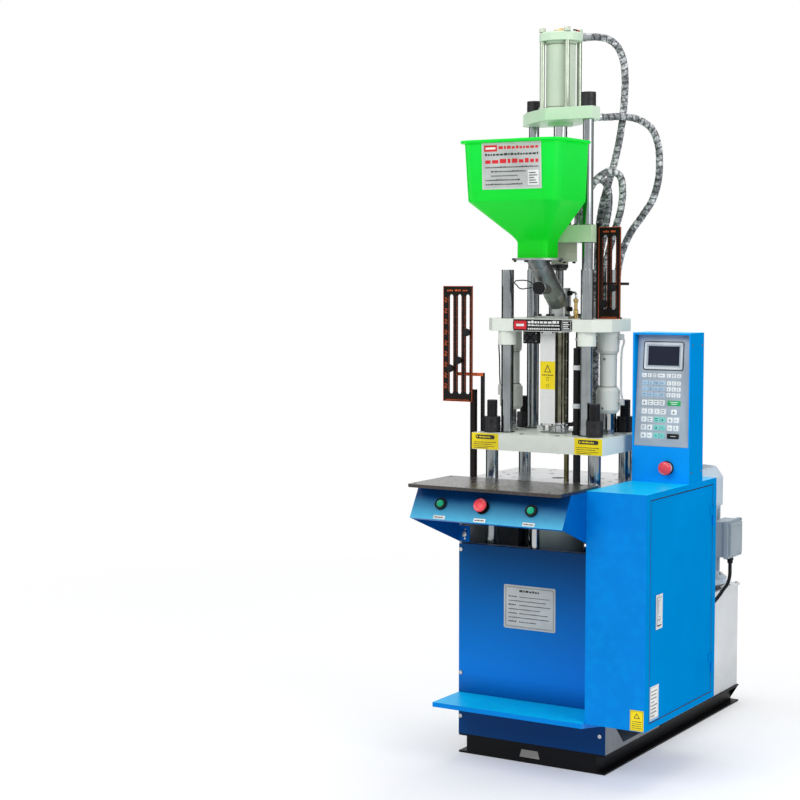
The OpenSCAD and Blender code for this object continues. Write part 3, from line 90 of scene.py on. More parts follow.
class Graph:
    """The node tree of a new material or world, with short calls."""

    def __init__(self, name, kind="Material"):
        self.owner = (bpy.data.worlds if kind == "World" else bpy.data.materials).new(name)
        self.owner.use_nodes = True
        self.tree = self.owner.node_tree
        self.tree.nodes.clear()
        self.out = self.node("ShaderNodeOutput" + kind)
        if kind == "Material":
            self.coord = self.node("ShaderNodeTexCoord").outputs["Object"]

    def node(self, kind, **values):
        """A new node with its properties set, and its inputs by name or by number (i0)."""
        n = self.tree.nodes.new(kind)
        for k, v in values.items():
            if hasattr(n, k):
                setattr(n, k, v)
            else:
                self.put(n, k, v)
        return n

    def put(self, n, key, v):
        socket = n.inputs[int(key[1:]) if key[0] == "i" and key[1:].isdigit() else key.replace("_", " ")]
        if isinstance(v, bpy.types.Node):
            v = v.outputs[0]
        if isinstance(v, bpy.types.NodeSocket):
            self.tree.links.new(v, socket)
        else:
            socket.default_value = v

    def noise(self, scale, detail=3.0, rough=0.5, stretch=None):
        vec = self.node("ShaderNodeMapping", Scale=stretch, Vector=self.coord) if stretch else self.coord
        n = self.node("ShaderNodeTexNoise", Scale=scale, Detail=detail, Roughness=rough, Vector=vec)
        return n.outputs["Fac"]

    def span(self, v, a, b, c=0.0, d=1.0):
        """v carried from the range a to b into c to d."""
        return self.node("ShaderNodeMapRange", i0=v, i1=a, i2=b, i3=c, i4=d).outputs[0]

    def mix(self, f, a, b):
        return self.node("ShaderNodeMix", data_type="RGBA", i0=f, i6=a, i7=b).outputs[2]

    def mottle(self, wide, c, var):
        """A colour that wavers with the wide noise."""
        return self.mix(self.span(wide, 0.3, 0.7), tint(c, 1 - var), tint(c, 1 + var))

    def math(self, op, a, b):
        return self.node("ShaderNodeMath", operation=op, i0=a, i1=b).outputs[0]

    def height(self, wide=None, k=0.0):
        """Height above the floor in metres, unsettled by k times the wide noise."""
        z = self.node("ShaderNodeSeparateXYZ", i0=self.coord).outputs[2]
        return self.math("ADD", z, self.math("MULTIPLY", wide, k)) if k else z

    def bump(self, height, strength, distance=0.0003):
        return self.node("ShaderNodeBump", Strength=strength, Distance=distance, Height=height).outputs[0]

    def seen(self):
        """1 for rays from the camera, a mirror or glass, 0 for the ones that light the object."""
        rays = self.node("ShaderNodeLightPath").outputs
        mirrored = self.math("MAXIMUM", rays["Is Camera Ray"], rays["Is Glossy Ray"])
        return self.math("MAXIMUM", mirrored, rays["Is Transmission Ray"])

    def finish(self, shader):
        self.put(self.out, "i0", shader)
        return self.owner

    def done(self, **sockets):
        return self.finish(self.node("ShaderNodeBsdfPrincipled", **sockets))


def paint(name, c, rough=0.38, var=0.05, gloss=0.3, grain=420.0, bump=0.12, low=None, foot=None, wear=0.25):
    """Sprayed enamel: slight unevenness, orange peel, worn edges, and other colours (c, z0, z1) low down; on the panel
    and the console these height bands paint shade and shadow.
    """
    g = Graph(name)
    wide = g.noise(3.2, 4.0, 0.6)
    col = g.mottle(wide, c, var)
    if low:
        col = g.mix(g.span(g.height(wide, 0.05), low[1], low[2]), lin(low[0]), col)
    if foot:
        col = g.mix(g.span(g.height(), foot[1], foot[2]), lin(foot[0]), col)
    col = g.mix(g.span(g.noise(160.0, 2.0), 0.66, 0.74, 0.0, 0.12), col, tint(c, 0.6))
    edge = g.node("ShaderNodeNewGeometry").outputs["Pointiness"]
    scuff = g.math("MULTIPLY", g.span(edge, 0.53, 0.62, 0.0, wear), g.span(g.noise(40.0, 4.0), 0.45, 0.7))
    return g.done(Base_Color=g.mix(scuff, col, tint(c, 1.35)), Specular_IOR_Level=gloss,
                  Roughness=g.span(wide, 0.3, 0.75, rough - 0.05, rough + 0.08),
                  Normal=g.bump(g.noise(grain, 2.0), bump, 0.0004))


def metal(name, c, rough=0.2, along=None, var=0.12, bump=0.1, streak=260.0, spots=0.0, metallic=1.0):
    """Bare or plated metal, with a grain along one axis and faint stains; on the barrel cover the blotches are strong
    and also paint reflections.
    """
    g = Graph(name)
    fine = g.noise(streak, 4.0, 0.6, None if along is None else [0.03 if k == along else 1.0 for k in range(3)])
    col = g.mix(g.span(g.noise(9.0, 4.0, 0.6), 0.35, 0.7), tint(c, 1 - var), lin(c))
    col = g.mix(g.span(fine, 0.35, 0.65, 0.0, 0.35), col, tint(c, 1.12))
    if spots:
        col = g.mix(g.span(g.noise(55.0, 5.0, 0.7), 0.6, 0.72, 0.0, spots), col, tint(c, 0.45))
    return g.done(Base_Color=col, Metallic=metallic, Normal=g.bump(fine, bump),
                  Roughness=g.span(fine, 0.3, 0.7, max(0.03, rough - 0.06), rough + 0.08))


def plastic(name, c, rough, var=0.06, bump=0.1, grain=700.0, scatter=0.0, gloss=0.3):
    """Moulded plastic or rubber with a fine grain."""
    g = Graph(name)
    wide = g.noise(14.0, 3.0)
    more = {"Subsurface_Weight": scatter, "Subsurface_Radius": (0.01, 0.02, 0.008)} if scatter else {}
    return g.done(Base_Color=g.mottle(wide, c, var), Roughness=g.span(wide, 0.3, 0.7, rough - 0.05, rough + 0.07),
                  Normal=g.bump(g.noise(grain, 2.0), bump), Specular_IOR_Level=gloss, **more)


def hopper_plastic():
    """Rotomoulded translucent green plastic, yellower and darker towards its foot."""
    g = Graph("hopper_green")
    wide = g.noise(5.0, 3.0)
    col = g.mix(g.span(g.height(wide, 0.06), 1.50, 1.80), lin((24, 238, 0)), lin((16, 246, 84)))
    col = g.mix(g.span(wide, 0.3, 0.7, 0.0, 0.5), col, lin((0, 236, 60)))
    skin = g.node("ShaderNodeBsdfPrincipled", Base_Color=col, Roughness=0.36, Subsurface_Weight=0.35,
                  Subsurface_Scale=0.02, Specular_IOR_Level=0.25, Subsurface_Radius=(0.4, 1.0, 0.4),
                  Normal=g.bump(g.noise(240.0, 3.0), 0.15, 0.0005))
    through = g.node("ShaderNodeBsdfTranslucent", Color=col)
    return g.finish(g.node("ShaderNodeMixShader", i0=0.34, i1=skin, i2=through))


def hose_skin():
    """Grey hose with a white translucent spiral guard: the mesh carries which is which."""
    g = Graph("hose_grey")
    wrap = g.node("ShaderNodeAttribute", attribute_name="wrap").outputs["Fac"]
    patch = g.span(g.noise(26.0, 4.0, 0.6), 0.42, 0.62)
    dirt = g.span(g.noise(90.0, 5.0, 0.7), 0.44, 0.6)
    hose = g.mix(patch, lin((34, 36, 40)), lin((92, 96, 102)))
    guard = g.mix(dirt, g.mix(patch, lin((122, 126, 130)), lin((238, 240, 242))), lin((66, 70, 74)))
    return g.done(Base_Color=g.mix(wrap, hose, guard), Roughness=g.span(wrap, 0.0, 1.0, 0.5, 0.26),
                  Normal=g.bump(g.noise(500.0, 3.0), 0.15))


def glass(name, c):
    g = Graph(name)
    return g.done(Roughness=g.span(g.noise(30.0, 2.0), 0.3, 0.7, 0.05, 0.1), Specular_IOR_Level=0.2,
                  Base_Color=g.mix(g.noise(12.0), lin(c), tint(c, 1.4)))


M = {
    "base": paint("frame_black", (14, 14, 16), rough=0.45, var=0.2, wear=0.4, gloss=0.12),
    "body": paint("body_grey", (176, 178, 176), rough=0.4, low=((120, 121, 120), 0.06, 0.3)),
    # the front panel's own blue is the low colour; its dark top is a painted shadow of the console above, and its dark
    # foot a painted shade under the foot shelf
    "panel": paint("panel_blue", (0, 70, 124), rough=0.34, var=0.06, low=((0, 120, 212), 0.3, 0.66),
                   foot=((0, 62, 118), 0.16, 0.25), gloss=0.1),
    "cabinet": paint("cabinet_blue", (0, 131, 220), rough=0.34, var=0.03, gloss=0.06),
    # a lighter copy of the blue for the upward faces of the foot shelf, the cabinet and the control box: painted light
    # on their tops
    "shelf": paint("painted_lit_top_blue", (6, 194, 250), rough=0.34, var=0.03, gloss=0.1),
    "box": paint("box_blue", (0, 152, 242), rough=0.34, var=0.03, gloss=0.1),
    # a darker copy of the cabinet blue for the door and for the right faces of the cabinet and the control box:
    # painted shade of that side
    "door": paint("door_blue", (0, 136, 210), rough=0.42, var=0.03, gloss=0.0, wear=0.0),
    # the console front's own blue is the light low colour; its dark top is a painted shadow of the work table above
    "console": paint("console_blue", (0, 62, 122), rough=0.3, low=((88, 198, 238), 0.768, 0.838), gloss=0.2),
    # a darker copy of the console's blue for all its faces but the front: painted shade
    "shade": paint("console_painted_shade_blue", (0, 92, 170), rough=0.36, var=0.08, gloss=0.04),
    "tank": paint("tank_grey", (214, 217, 219), rough=0.42, low=((192, 196, 199), 0.06, 0.2)),
    "motor": paint("motor_cast", (176, 190, 204), rough=0.45, var=0.07, bump=0.3, grain=260.0),
    "cowl": paint("motor_paint", (190, 204, 216)),
    "tbox": paint("terminal_grey", (156, 168, 176), rough=0.42),
    "platen": paint("platen_paint", (224, 230, 220), rough=0.35, var=0.03),
    "plate": paint("plate_paint", (208, 232, 206), rough=0.35, var=0.03),
    "olive": paint("motor_plate_paint", (182, 208, 172), rough=0.36, var=0.04),
    "pump": paint("screw_motor_paint", (178, 186, 164), rough=0.4, var=0.08),
    "cylinder": paint("cylinder_paint", (206, 219, 200), var=0.04),
    "seat": paint("seat_paint", (204, 208, 202), var=0.04),
    "guard": paint("guard_white", (220, 221, 220), rough=0.3, var=0.03),
    "cast": paint("cross_cast", (78, 80, 84), rough=0.5, bump=0.5, grain=160.0),
    "table": metal("table_dark", (74, 69, 68), rough=0.24, var=0.25, spots=0.35, bump=0.2, streak=120.0,
                   metallic=0.55),
    "bronze": metal("rod_bronze", (112, 104, 66), rough=0.24, along=2, bump=0.04),
    "steel": metal("platen_steel", (206, 208, 210), rough=0.26, along=0, spots=0.15),
    "chrome": metal("bar_chrome", (150, 156, 158), rough=0.12, along=2, bump=0.05, var=0.2),
    "rod": metal("rod_chrome", (184, 188, 190), rough=0.09, along=2, bump=0.03),
    "stud": metal("stud_steel", (172, 182, 166), rough=0.36, along=2),
    # its large light and dark blotches are stains and painted reflections of the parts round the barrel
    "cover": metal("cover_steel", (132, 130, 112), rough=0.07, var=0.5, bump=0.6, streak=38.0, spots=0.7),
    "ring": metal("barrel_steel", (196, 198, 200), var=0.2),
    "throat": metal("throat_cast", (164, 168, 166), rough=0.36, var=0.3, bump=0.5, streak=90.0, spots=0.35),
    "block": metal("block_steel", (168, 172, 176), rough=0.32, var=0.18, spots=0.2),
    "black": metal("nut_black", (44, 44, 47), rough=0.42, var=0.35, spots=0.3, metallic=0.6),
    "bolt": metal("bolt_black", (40, 41, 44), rough=0.34, var=0.3, metallic=0.7),
    "zinc": metal("bolt_zinc", (196, 198, 196), rough=0.24, var=0.2),
    "brass": metal("fitting_brass", (206, 176, 112), rough=0.24, var=0.25),
    "screw": metal("screw_steel", (110, 112, 114), rough=0.3, along=2),
    "handle": metal("handle_chrome", (214, 218, 222), rough=0.12, along=2, bump=0.04),
    "hopper": hopper_plastic(),
    "hose": hose_skin(),
    "screen": glass("screen_glass", (20, 26, 42)),
    "cable": plastic("cable_black", (16, 16, 18), rough=0.4, gloss=0.2),
    "rubber": plastic("rubber_black", (20, 20, 22), rough=0.5, gloss=0.15),
    "switch": plastic("switch_plastic", (70, 74, 80), rough=0.5),
    "ruler": plastic("ruler_black", (24, 19, 17), rough=0.4, var=0.15, gloss=0.12),
    "orange": plastic("mark_orange", (214, 98, 50), rough=0.4, gloss=0.15),
    "dog": plastic("dog_black", (18, 18, 20), rough=0.42, bump=0.4, grain=350.0, gloss=0.2),
    "keypad": plastic("keypad_plastic", (168, 178, 188), rough=0.34, bump=0.04),
    "bezel": plastic("bezel_plastic", (16, 17, 20), rough=0.36, gloss=0.2),
    "pale": plastic("pale_plastic", (214, 218, 221), rough=0.36),
    "key": plastic("key_white", (236, 240, 243), rough=0.34),
    "teal": plastic("key_teal", (120, 206, 196), rough=0.34),
    "keygreen": plastic("key_green", (40, 170, 96), rough=0.34),
    "keyblue": plastic("key_pale_blue", (176, 206, 232), rough=0.34),
    "red": plastic("stop_red", (240, 74, 84), rough=0.28, var=0.05, scatter=0.08),
    "green": plastic("button_green", (0, 176, 128), rough=0.26, scatter=0.08),
    "white": plastic("label_plastic", (228, 230, 228), rough=0.4, bump=0.03),
    "grey": plastic("label_grey", (186, 190, 188), rough=0.4, bump=0.03),
    "yellow": plastic("label_yellow", (240, 216, 22), rough=0.36, bump=0.03),
    "ink": plastic("label_ink", (44, 44, 42), rough=0.5, bump=0.02),
    "redink": plastic("label_red", (206, 36, 44), rough=0.4, bump=0.02),
    # flat black that paints the shade inside holes, slots and recesses
    "dark": plastic("painted_shade_black", (14, 14, 15), rough=0.7),
}

# ---------------------------------------------------------------- places, in millimetres
UP, DOWN, LEFT, RIGHT, FRONT, BACK = (0, 0, 1), (0, 0, -1), (-1, 0, 0), (1, 0, 0), (0, -1, 0), (0, 1, 0)
SIDEWAYS = Matrix(((0, 0, 1, 0), (1, 0, 0, 0), (0, 1, 0, 0), (0, 0, 0, 1)))  # x to the back, y up, z to the right
BODY = {n: o["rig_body"] for n, o in frame["nodes"].items()}
TALL = ((132, -83), (-132, 83))  # the two tall guide columns
COLUMNS, BARS, SEATS = (132, 83), (171, 106), (-163, 163)  # guide columns, tie bars, seat cylinders
ROD, CONDUIT = (92, -62), (64, -2)  # the sleeved rod, the heater conduit
MOTOR, CHUTE = (130, 720), (8, -159.5)  # the pump motor's axis, the chute's upper end
# faces that small parts sit on
PLATEN_TOP, MID_UNDER, MID_TOP, MOTOR_UNDER, MOTOR_TOP = 980, 1245, 1324, 1550, 1600
CYLINDER_FOOT, CYLINDER_TOP, THROAT_FOOT, CONSOLE_TOP, TABLE_TOP, BED_TOP = 1943, 2147, 1331, 844.8, 855, 840
TANK_LID, COWL_TOP, BODY_BACK, CABINET_BACK, TANK_LEFT = 410, 815, 218, 196, -254.5
DOOR_IN, DOOR_FACE = 429, 431


def shift(x, y, z):
    return Matrix.Translation((x, y, z))


def at(x, y, z=0.0, d=UP, turn=0.0):
    """A place for a round form: its +Z goes along d."""
    return shift(x, y, z) @ Vector(d).to_track_quat("Z", "Y").to_matrix().to_4x4() @ Matrix.Rotation(rad(turn), 4, "Z")


def front(x, y, z, lean=0.0):
    """An upright plane seen from the front, leaning back by so many radians."""
    return shift(x, y, z) @ Matrix.Rotation(rad(90) + lean, 4, "X")


def each(points, z, d=UP):
    return [at(x, y, z, d) for x, y in points]


def grid(x, y, z, d=UP, turn=0.0):
    """Places at every combination of the coordinates, of which each is one number or several."""
    xs, ys, zs = [v if isinstance(v, (tuple, range)) else (v,) for v in (x, y, z)]
    return [at(a, b, c, d, turn) for a in xs for b in ys for c in zs]


def corners(x, y, z, d=UP, turn=0.0):
    return grid((-x, x), (-y, y), z, d, turn)


def wheel(n, r, start, x, y, z, d=None):
    """n places round a vertical axis, facing d or outwards."""
    turns = [rad(start + 360 * k / n) for k in range(n)]
    return [at(x + r * cos(a), y + r * sin(a), z, d or (cos(a), sin(a), 0)) for a in turns]


def around(r, n, z=0.0, start=0.0):
    """n points of a circle."""
    return [(r * cos(start + 2 * pi * k / n), r * sin(start + 2 * pi * k / n), z) for k in range(n)]


def rounded(x0, y0, x1, y1, r, n=5):
    """A rectangle's outline with round corners."""
    out = []
    for cx, cy, a0 in ((x1 - r, y0 + r, -90), (x1 - r, y1 - r, 0), (x0 + r, y1 - r, 90), (x0 + r, y0 + r, 180)):
        out += [(cx + r * cos(rad(a0 + 90 * k / n)), cy + r * sin(rad(a0 + 90 * k / n))) for k in range(n + 1)]
    return out


def border(x0, y0, x1, y1, w):
    """The four strips of width w inside a rectangle's edge."""
    return (x0, y0, x1, y0 + w), (x0, y1 - w, x1, y1), (x0, y0, x0 + w, y1), (x1 - w, y0, x1, y1)


def bands(rings, n):
    """Quads between each ring of n points and the next."""
    return [[i * n + k, i * n + (k + 1) % n, (i + 1) * n + (k + 1) % n, (i + 1) * n + k]
            for i in range(rings - 1) for k in range(n)]


def smooth_line(points, step):
    """Points about step apart on a smooth curve through the given ones."""
    p = [Vector(q) for q in points]
    p = [p[0] * 2 - p[1]] + p + [p[-1] * 2 - p[-2]]
    out = []
    for a, b, c, d in zip(p, p[1:], p[2:], p[3:]):
        ta, tb, tc = (b - a).length ** 0.5, (c - b).length ** 0.5, (d - c).length ** 0.5
        m1 = (c - b) + tb * ((b - a) / ta - (c - a) / (ta + tb))
        m2 = (c - b) + tb * ((d - c) / tc - (d - b) / (tb + tc))
        n = max(2, round((c - b).length / step))
        for t in (k / n for k in range(n)):
            out.append(b * (2 * t**3 - 3 * t**2 + 1) + m1 * (t**3 - 2 * t**2 + t)
                       + c * (-2 * t**3 + 3 * t**2) + m2 * (t**3 - t**2))
    out.append(p[-2])
    return out


# ---------------------------------------------------------------- pieces
class Piece:
    """One object built from many small closed forms, in millimetres, each with its own material.

    body is a body's name or the name of a CAD node on it. A form's m is one place or a list of places.
    """

    def __init__(self, name, body, slot, replaces=()):
        self.name, self.body, self.slot, self.replaces = name, BODY.get(body, body), slot, replaces
        self.keys, self.v, self.f, self.m = {}, [], [], []

    def put(self, verts, faces, mat, m=None):
        for place in m if isinstance(m, list) else [m or Matrix.Identity(4)]:
            n = len(self.v)
            self.v += [place @ Vector(v) for v in verts]
            self.f += [[n + i for i in f] for f in faces]
            self.m += [self.keys.setdefault(mat, len(self.keys))] * len(faces)

    def mesh(self, bm, mat, m):
        bm.verts.index_update()
        self.put([v.co.copy() for v in bm.verts], [[v.index for v in f.verts] for f in bm.faces], mat, m)
        bm.free()

    def box(self, lo, hi, mat, b, m=None):
        bm = bmesh.new()
        size = [h - l for l, h in zip(lo, hi)]
        mid = [(h + l) / 2 for l, h in zip(lo, hi)]
        bmesh.ops.create_cube(bm, size=1.0, matrix=Matrix.Translation(mid) @ Matrix.Diagonal((*size, 1)))
        if b:
            bmesh.ops.bevel(bm, geom=bm.edges[:], offset=min(b, min(size) * 0.35), segments=2, profile=0.5,
                            affect="EDGES")
        self.mesh(bm, mat, m)

    def prism(self, points, h, mat, b, m):
        """A flat outline drawn up by h, with its edges broken."""
        bm = bmesh.new()
        f = bm.faces.new([bm.verts.new((x, y, 0)) for x, y in points])
        f.normal_update()
        if f.normal.z < 0:
            f.normal_flip()
        for v in bmesh.ops.extrude_face_region(bm, geom=[f])["geom"]:
            if isinstance(v, bmesh.types.BMVert):
                v.co.z += h
        bmesh.ops.recalc_face_normals(bm, faces=bm.faces)
        if b:
            sharp = [e for e in bm.edges if e.calc_face_angle(0) > rad(30)]
            bmesh.ops.bevel(bm, geom=sharp, offset=min(b, h * 0.35), segments=2, profile=0.5, affect="EDGES",
                            clamp_overlap=True)
        self.mesh(bm, mat, m)

    def lathe(self, profile, mat, m, n=32, cut=None):
        """A profile of (radius, height) turned about Z, closed at the axis; cut(angle, height) scales it."""
        verts, faces, rings = [], [], []
        for r, z in profile:
            count = 1 if r <= 1e-6 else n
            rings.append([len(verts) + k for k in range(count)])
            for k in range(count):
                a = 2 * pi * k / n
                s = r * (cut(a, z) if cut else 1.0)
                verts.append((s * cos(a), s * sin(a), z))
        for a, b in zip(rings, rings[1:]):
            for k in range(n):
                q = [a[k % len(a)], a[(k + 1) % len(a)], b[(k + 1) % len(b)], b[k % len(b)]]
                q = list(dict.fromkeys(q))
                if len(q) > 2:
                    faces.append(q)
        self.put(verts, faces, mat, m)

    def cyl(self, r, z0, z1, mat, m, n, c=0.6):
        c = min(c, r * 0.3, (z1 - z0) * 0.3)
        self.lathe([(0, z0), (r - c, z0), (r - c * 0.3, z0 + c * 0.3), (r, z0 + c), (r, z1 - c),
                    (r - c * 0.3, z1 - c * 0.3), (r - c, z1), (0, z1)], mat, m, n)

    def ring(self, r, hole, z0, z1, mat, m, n=32, c=0.5):
        c = min(c, (r - hole) * 0.3, (z1 - z0) * 0.3)
        self.lathe([(hole, z0), (r - c, z0), (r, z0 + c), (r, z1 - c), (r - c, z1), (hole + c, z1),
                    (hole, z1 - c), (hole, z0)], mat, m, n)

    def tube(self, points, r, mat, n, step=None, shape=None):
        """A round tube along points; shape(s, angle) scales its radius."""
        p = smooth_line(points, step) if step else [Vector(q) for q in points]
        verts, up, s = [], None, 0.0
        for i, q in enumerate(p):
            t = (p[min(i + 1, len(p) - 1)] - p[max(i - 1, 0)]).normalized()
            if up is None:
                up = t.orthogonal().normalized()
            up = (up - t * up.dot(t)).normalized()
            side = t.cross(up)
            s += (q - p[i - 1]).length if i else 0.0
            for k in range(n):
                a = 2 * pi * k / n
                verts.append(q + (up * cos(a) + side * sin(a)) * (r * (shape(s, a) if shape else 1.0)))
        ends = [list(range(n))[::-1], [(len(p) - 1) * n + k for k in range(n)]]
        self.put(verts, bands(len(p), n) + ends, mat)
        return p

    def hexbolt(self, r, h, mat, m):
        """Hexagon head, chamfered, on a washer."""
        self.cyl(r * 1.25, 0, h * 0.18, mat, m, 24, 0.3)
        self.lathe([(0, h * 0.18), (r, h * 0.18), (r, h * 0.86), (r * 0.86, h), (0, h)], mat, m, 6)

    def cap(self, r, h, mat, m, hole="dark"):
        """Socket head screw with its hexagon recess, whose floor is black: painted shade."""
        n, verts = 24, []
        for rr, z, six in ((1, 0, False), (1, 0.85, False), (0.88, 1, False), (0.56, 1, True), (0.52, 0.45, True)):
            for k in range(n):
                a = 2 * pi * k / n
                q = r * rr * (cos(rad(30)) / cos((a % rad(60)) - rad(30)) if six else 1.0)
                verts.append((q * cos(a), q * sin(a), h * z))
        self.put(verts, bands(5, n), mat, m)
        self.put(verts[4 * n :], [list(range(n))], hole, m)

    def on(self, plane, lift=0.0):
        """Takes the plane that the next prints lie on."""
        self.plane = plane @ shift(0, 0, lift)

    def spots(self, xs, ys):
        return [self.plane @ shift(x, y, 0) for x in xs for y in ys]

    def field(self, x0, y0, x1, y1, mat, z, h):
        """A thin printed field."""
        self.box((x0, y0, z), (x1, y1, z + h), mat, 0.0, self.plane)

    def bars(self, x0, x1, y, h, mat, seed, z=0.0):
        """A generic line of print: short bars of uneven length, no letters."""
        while x0 < x1 - h * 0.5:
            seed = (seed * 7 + 3) % 11
            w = h * (0.7 + 0.22 * (seed % 5))
            self.field(x0, y, min(x0 + w, x1), y + h * (0.75 if seed % 3 else 0.95), mat, z, 0.12)
            x0 += w + h * 0.35

    def rim(self, x0, y0, x1, y1, r, w, h, mat, n=5):
        """A raised rounded border of width w and height h."""
        c = min(w, h) * 0.3
        verts = []
        for d, least, z in ((0, 0, 0), (0, 0, h - c), (c, 0.4, h), (w - c, 0.5, h), (w, 0.5, h - c), (w, 0.5, 0)):
            outline = rounded(x0 + d, y0 + d, x1 - d, y1 - d, max(r - d, least), n)
            verts += [(x, y, z) for x, y in outline]
        self.put(verts, bands(6, 4 * (n + 1)), mat, self.plane)

    def done(self, smooth=38, weighted=True):
        me = bpy.data.meshes.new(self.name)
        me.from_pydata([v * 0.001 for v in self.v], [], self.f)
        me.polygons.foreach_set("material_index", self.m)
        return finish_mesh(me, self.name, self.body, self.slot, self.keys, self.replaces, smooth, weighted)


def finish_mesh(me, name, body, slot, keys, replaces, smooth, weighted=True):
    for key in keys:
        me.materials.append(M[key])
    me.validate()
    me.polygons.foreach_set("use_smooth", [True] * len(me.polygons))
    me.set_sharp_from_angle(angle=rad(smooth))
    ob = bpy.data.objects.new(name, me)
    scene.collection.objects.link(ob)
    if weighted:
        ob.modifiers.new("weighted", "WEIGHTED_NORMAL").keep_sharp = True
    if body:
        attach(ob, body)
    if replaces:
        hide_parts(*replaces)
    return ob


def islands(bm):
    """The sets of joined vertices."""
    left = set(bm.verts)
    while left:
        todo, seen = [left.pop()], set()
        while todo:
            v = todo.pop()
            if v not in seen:
                seen.add(v)
                todo += [e.other_vert(v) for e in v.link_edges if e.other_vert(v) not in seen]
        left -= seen
        yield seen


def refine(node, width, slot, pick):
    """The CAD node's own form with broken edges; pick is its material, or gives each face's by centre and normal."""
    bm = bmesh.new()
    bm.from_mesh(frame["nodes"][node].data)
    bmesh.ops.remove_doubles(bm, verts=bm.verts[:], dist=2e-6)
    bmesh.ops.dissolve_limit(bm, angle_limit=rad(0.4), verts=bm.verts[:], edges=bm.edges[:])
    jobs = [{e for v in part for e in v.link_edges if len(e.link_faces) == 2 and e.calc_face_angle(0) > rad(28)}
            for part in list(islands(bm))]
    for edges in jobs:
        if edges:
            bmesh.ops.bevel(bm, geom=list(edges), offset=width / 1000, segments=2, profile=0.5, affect="EDGES",
                            clamp_overlap=True, loop_slide=True)
    keys = {}
    for f in bm.faces:
        key = pick if isinstance(pick, str) else pick(f.calc_center_median() * 1000, f.normal)
        f.material_index = keys.setdefault(key, len(keys))
    me = bpy.data.meshes.new(node + "_fine")
    bm.to_mesh(me)
    bm.free()
    old = me.attributes.get("custom_normal")
    if old:
        me.attributes.remove(old)
    finish_mesh(me, node + "_fine", BODY[node], slot, keys, (node,), 40)


# ---------------------------------------------------------------- hoses and cable, on the routes of part.scad
ROUTES = {
    "hose_cap": [
        [78, 42, 2161], [96, 52, 2161], [123, 69, 2154], [144, 89, 2132], [155, 106, 2092],
        [154, 121, 2040], [144, 135, 1960], [132, 139, 1880], [114, 140, 1800], [92, 141, 1730],
        [71, 142, 1660], [60, 142, 1580], [56, 141, 1400], [55, 137, 1140], [55, 135, 1040]],
    "hose_base": [
        [104, 60, 1925], [117, 74, 1925], [150, 106, 1928], [190, 134, 1920], [222, 158, 1896],
        [240, 170, 1852], [246, 172, 1796], [242, 172, 1736], [226, 168, 1680], [196, 162, 1632],
        [160, 155, 1580], [132, 149, 1510], [119, 144, 1400], [115, 138, 1160], [115, 135, 1040]],
    "hose_motor_a": [
        [62, 28, 1624], [62, 28, 1642], [66, 36, 1680], [77, 50, 1716], [98, 70, 1750],
        [124, 92, 1766], [146, 108, 1750], [152, 115, 1704], [144, 117, 1646], [124, 116, 1580],
        [104, 110, 1500], [94, 105, 1420], [94, 104, 1374]],
    "hose_motor_b": [
        [30, 62, 1624], [30, 62, 1642], [34, 69, 1676], [46, 82, 1710], [66, 96, 1736],
        [88, 107, 1740], [104, 112, 1716], [108, 113, 1668], [99, 110, 1600], [84, 106, 1520],
        [71, 104, 1430], [70, 104, 1374]],
    "hose_seat": [
        [20, 100, 1263], [20, 100, 1240], [31, 99, 1200], [51, 100, 1154], [70, 108, 1116],
        [82, 123, 1084], [85, 135, 1060], [85, 135, 1040]],
    "hose_main": [
        [85, 172, 996], [85, 190, 996], [87, 228, 992], [90, 264, 976], [92, 296, 946],
        [92, 326, 900], [90, 352, 840], [84, 372, 770], [72, 383, 700], [60, 385, 640],
        [56, 384, 602], [56, 384, 584]],
    "motor_cable": [
        [282, 700, 506], [282, 700, 490], [285, 692, 471], [290, 670, 454], [296, 636, 443],
        [302, 590, 435], [309, 530, 422], [316, 450, 408], [324, 370, 400], [331, 300, 402],
        [335, 240, 409], [335, 216, 410]],
}
# hoses that cross a slide, with the two bodies at the route's ends, and which end is the first's
CROSSING = {
    "hose_main": ("frame", "clamp_unit", -1),
    "hose_seat": ("seat_unit", "clamp_unit", 0),
    "hose_motor_a": ("injection_unit", "seat_unit", 0),
    "hose_motor_b": ("injection_unit", "seat_unit", 0),
}
HOSE_R, CABLE_R, SIDES, PITCH = 11.0, 6.0, 26, 19.0  # radii, sides of a hose, pitch of its spiral guard


def wrapped(s, a):
    """Radius of a hose with a spiral guard round it, as a share of the full one."""
    k = (s / PITCH - a / (2 * pi)) % 1.0
    return 1.0 if 0.12 < k < 0.88 else 0.915


def make_cord(name):
    plain = name == "motor_cable"
    r = CABLE_R if plain else HOSE_R
    part = Piece(name + "_piece", None if name in CROSSING else name, "cable_black" if plain else "hose_grey")
    if plain:
        path = part.tube(ROUTES[name], r, "cable", 12, 7.0)
    else:
        path = part.tube(ROUTES[name], r, "hose", SIDES, 2.6, wrapped)
    ob = part.done(80, False)
    if not plain:
        s, vals = 0.0, []
        for i, q in enumerate(path):
            s += (q - path[i - 1]).length if i else 0.0
            vals += [1.0 if wrapped(s, 2 * pi * k / SIDES) == 1.0 else 0.0 for k in range(SIDES)]
        ob.data.attributes.new("wrap", "FLOAT", "POINT").data.foreach_set("value", vals)
    line = [[c / 1000 for c in q] for q in path]
    length = sum((Vector(b) - Vector(a)).length for a, b in zip(line, line[1:]))
    if name in CROSSING:
        a, b, first = CROSSING[name]
        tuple(line[first])
        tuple(line[-1 - first])
        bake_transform(ob)
    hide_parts(name)
    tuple(line[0])


for route in ROUTES:
    make_cord(route)


# ---------------------------------------------------------------- CAD nodes with broken edges and finished materials
def near(p, x, y, r):
    return math.hypot(p.x - x, p.y - y) < r


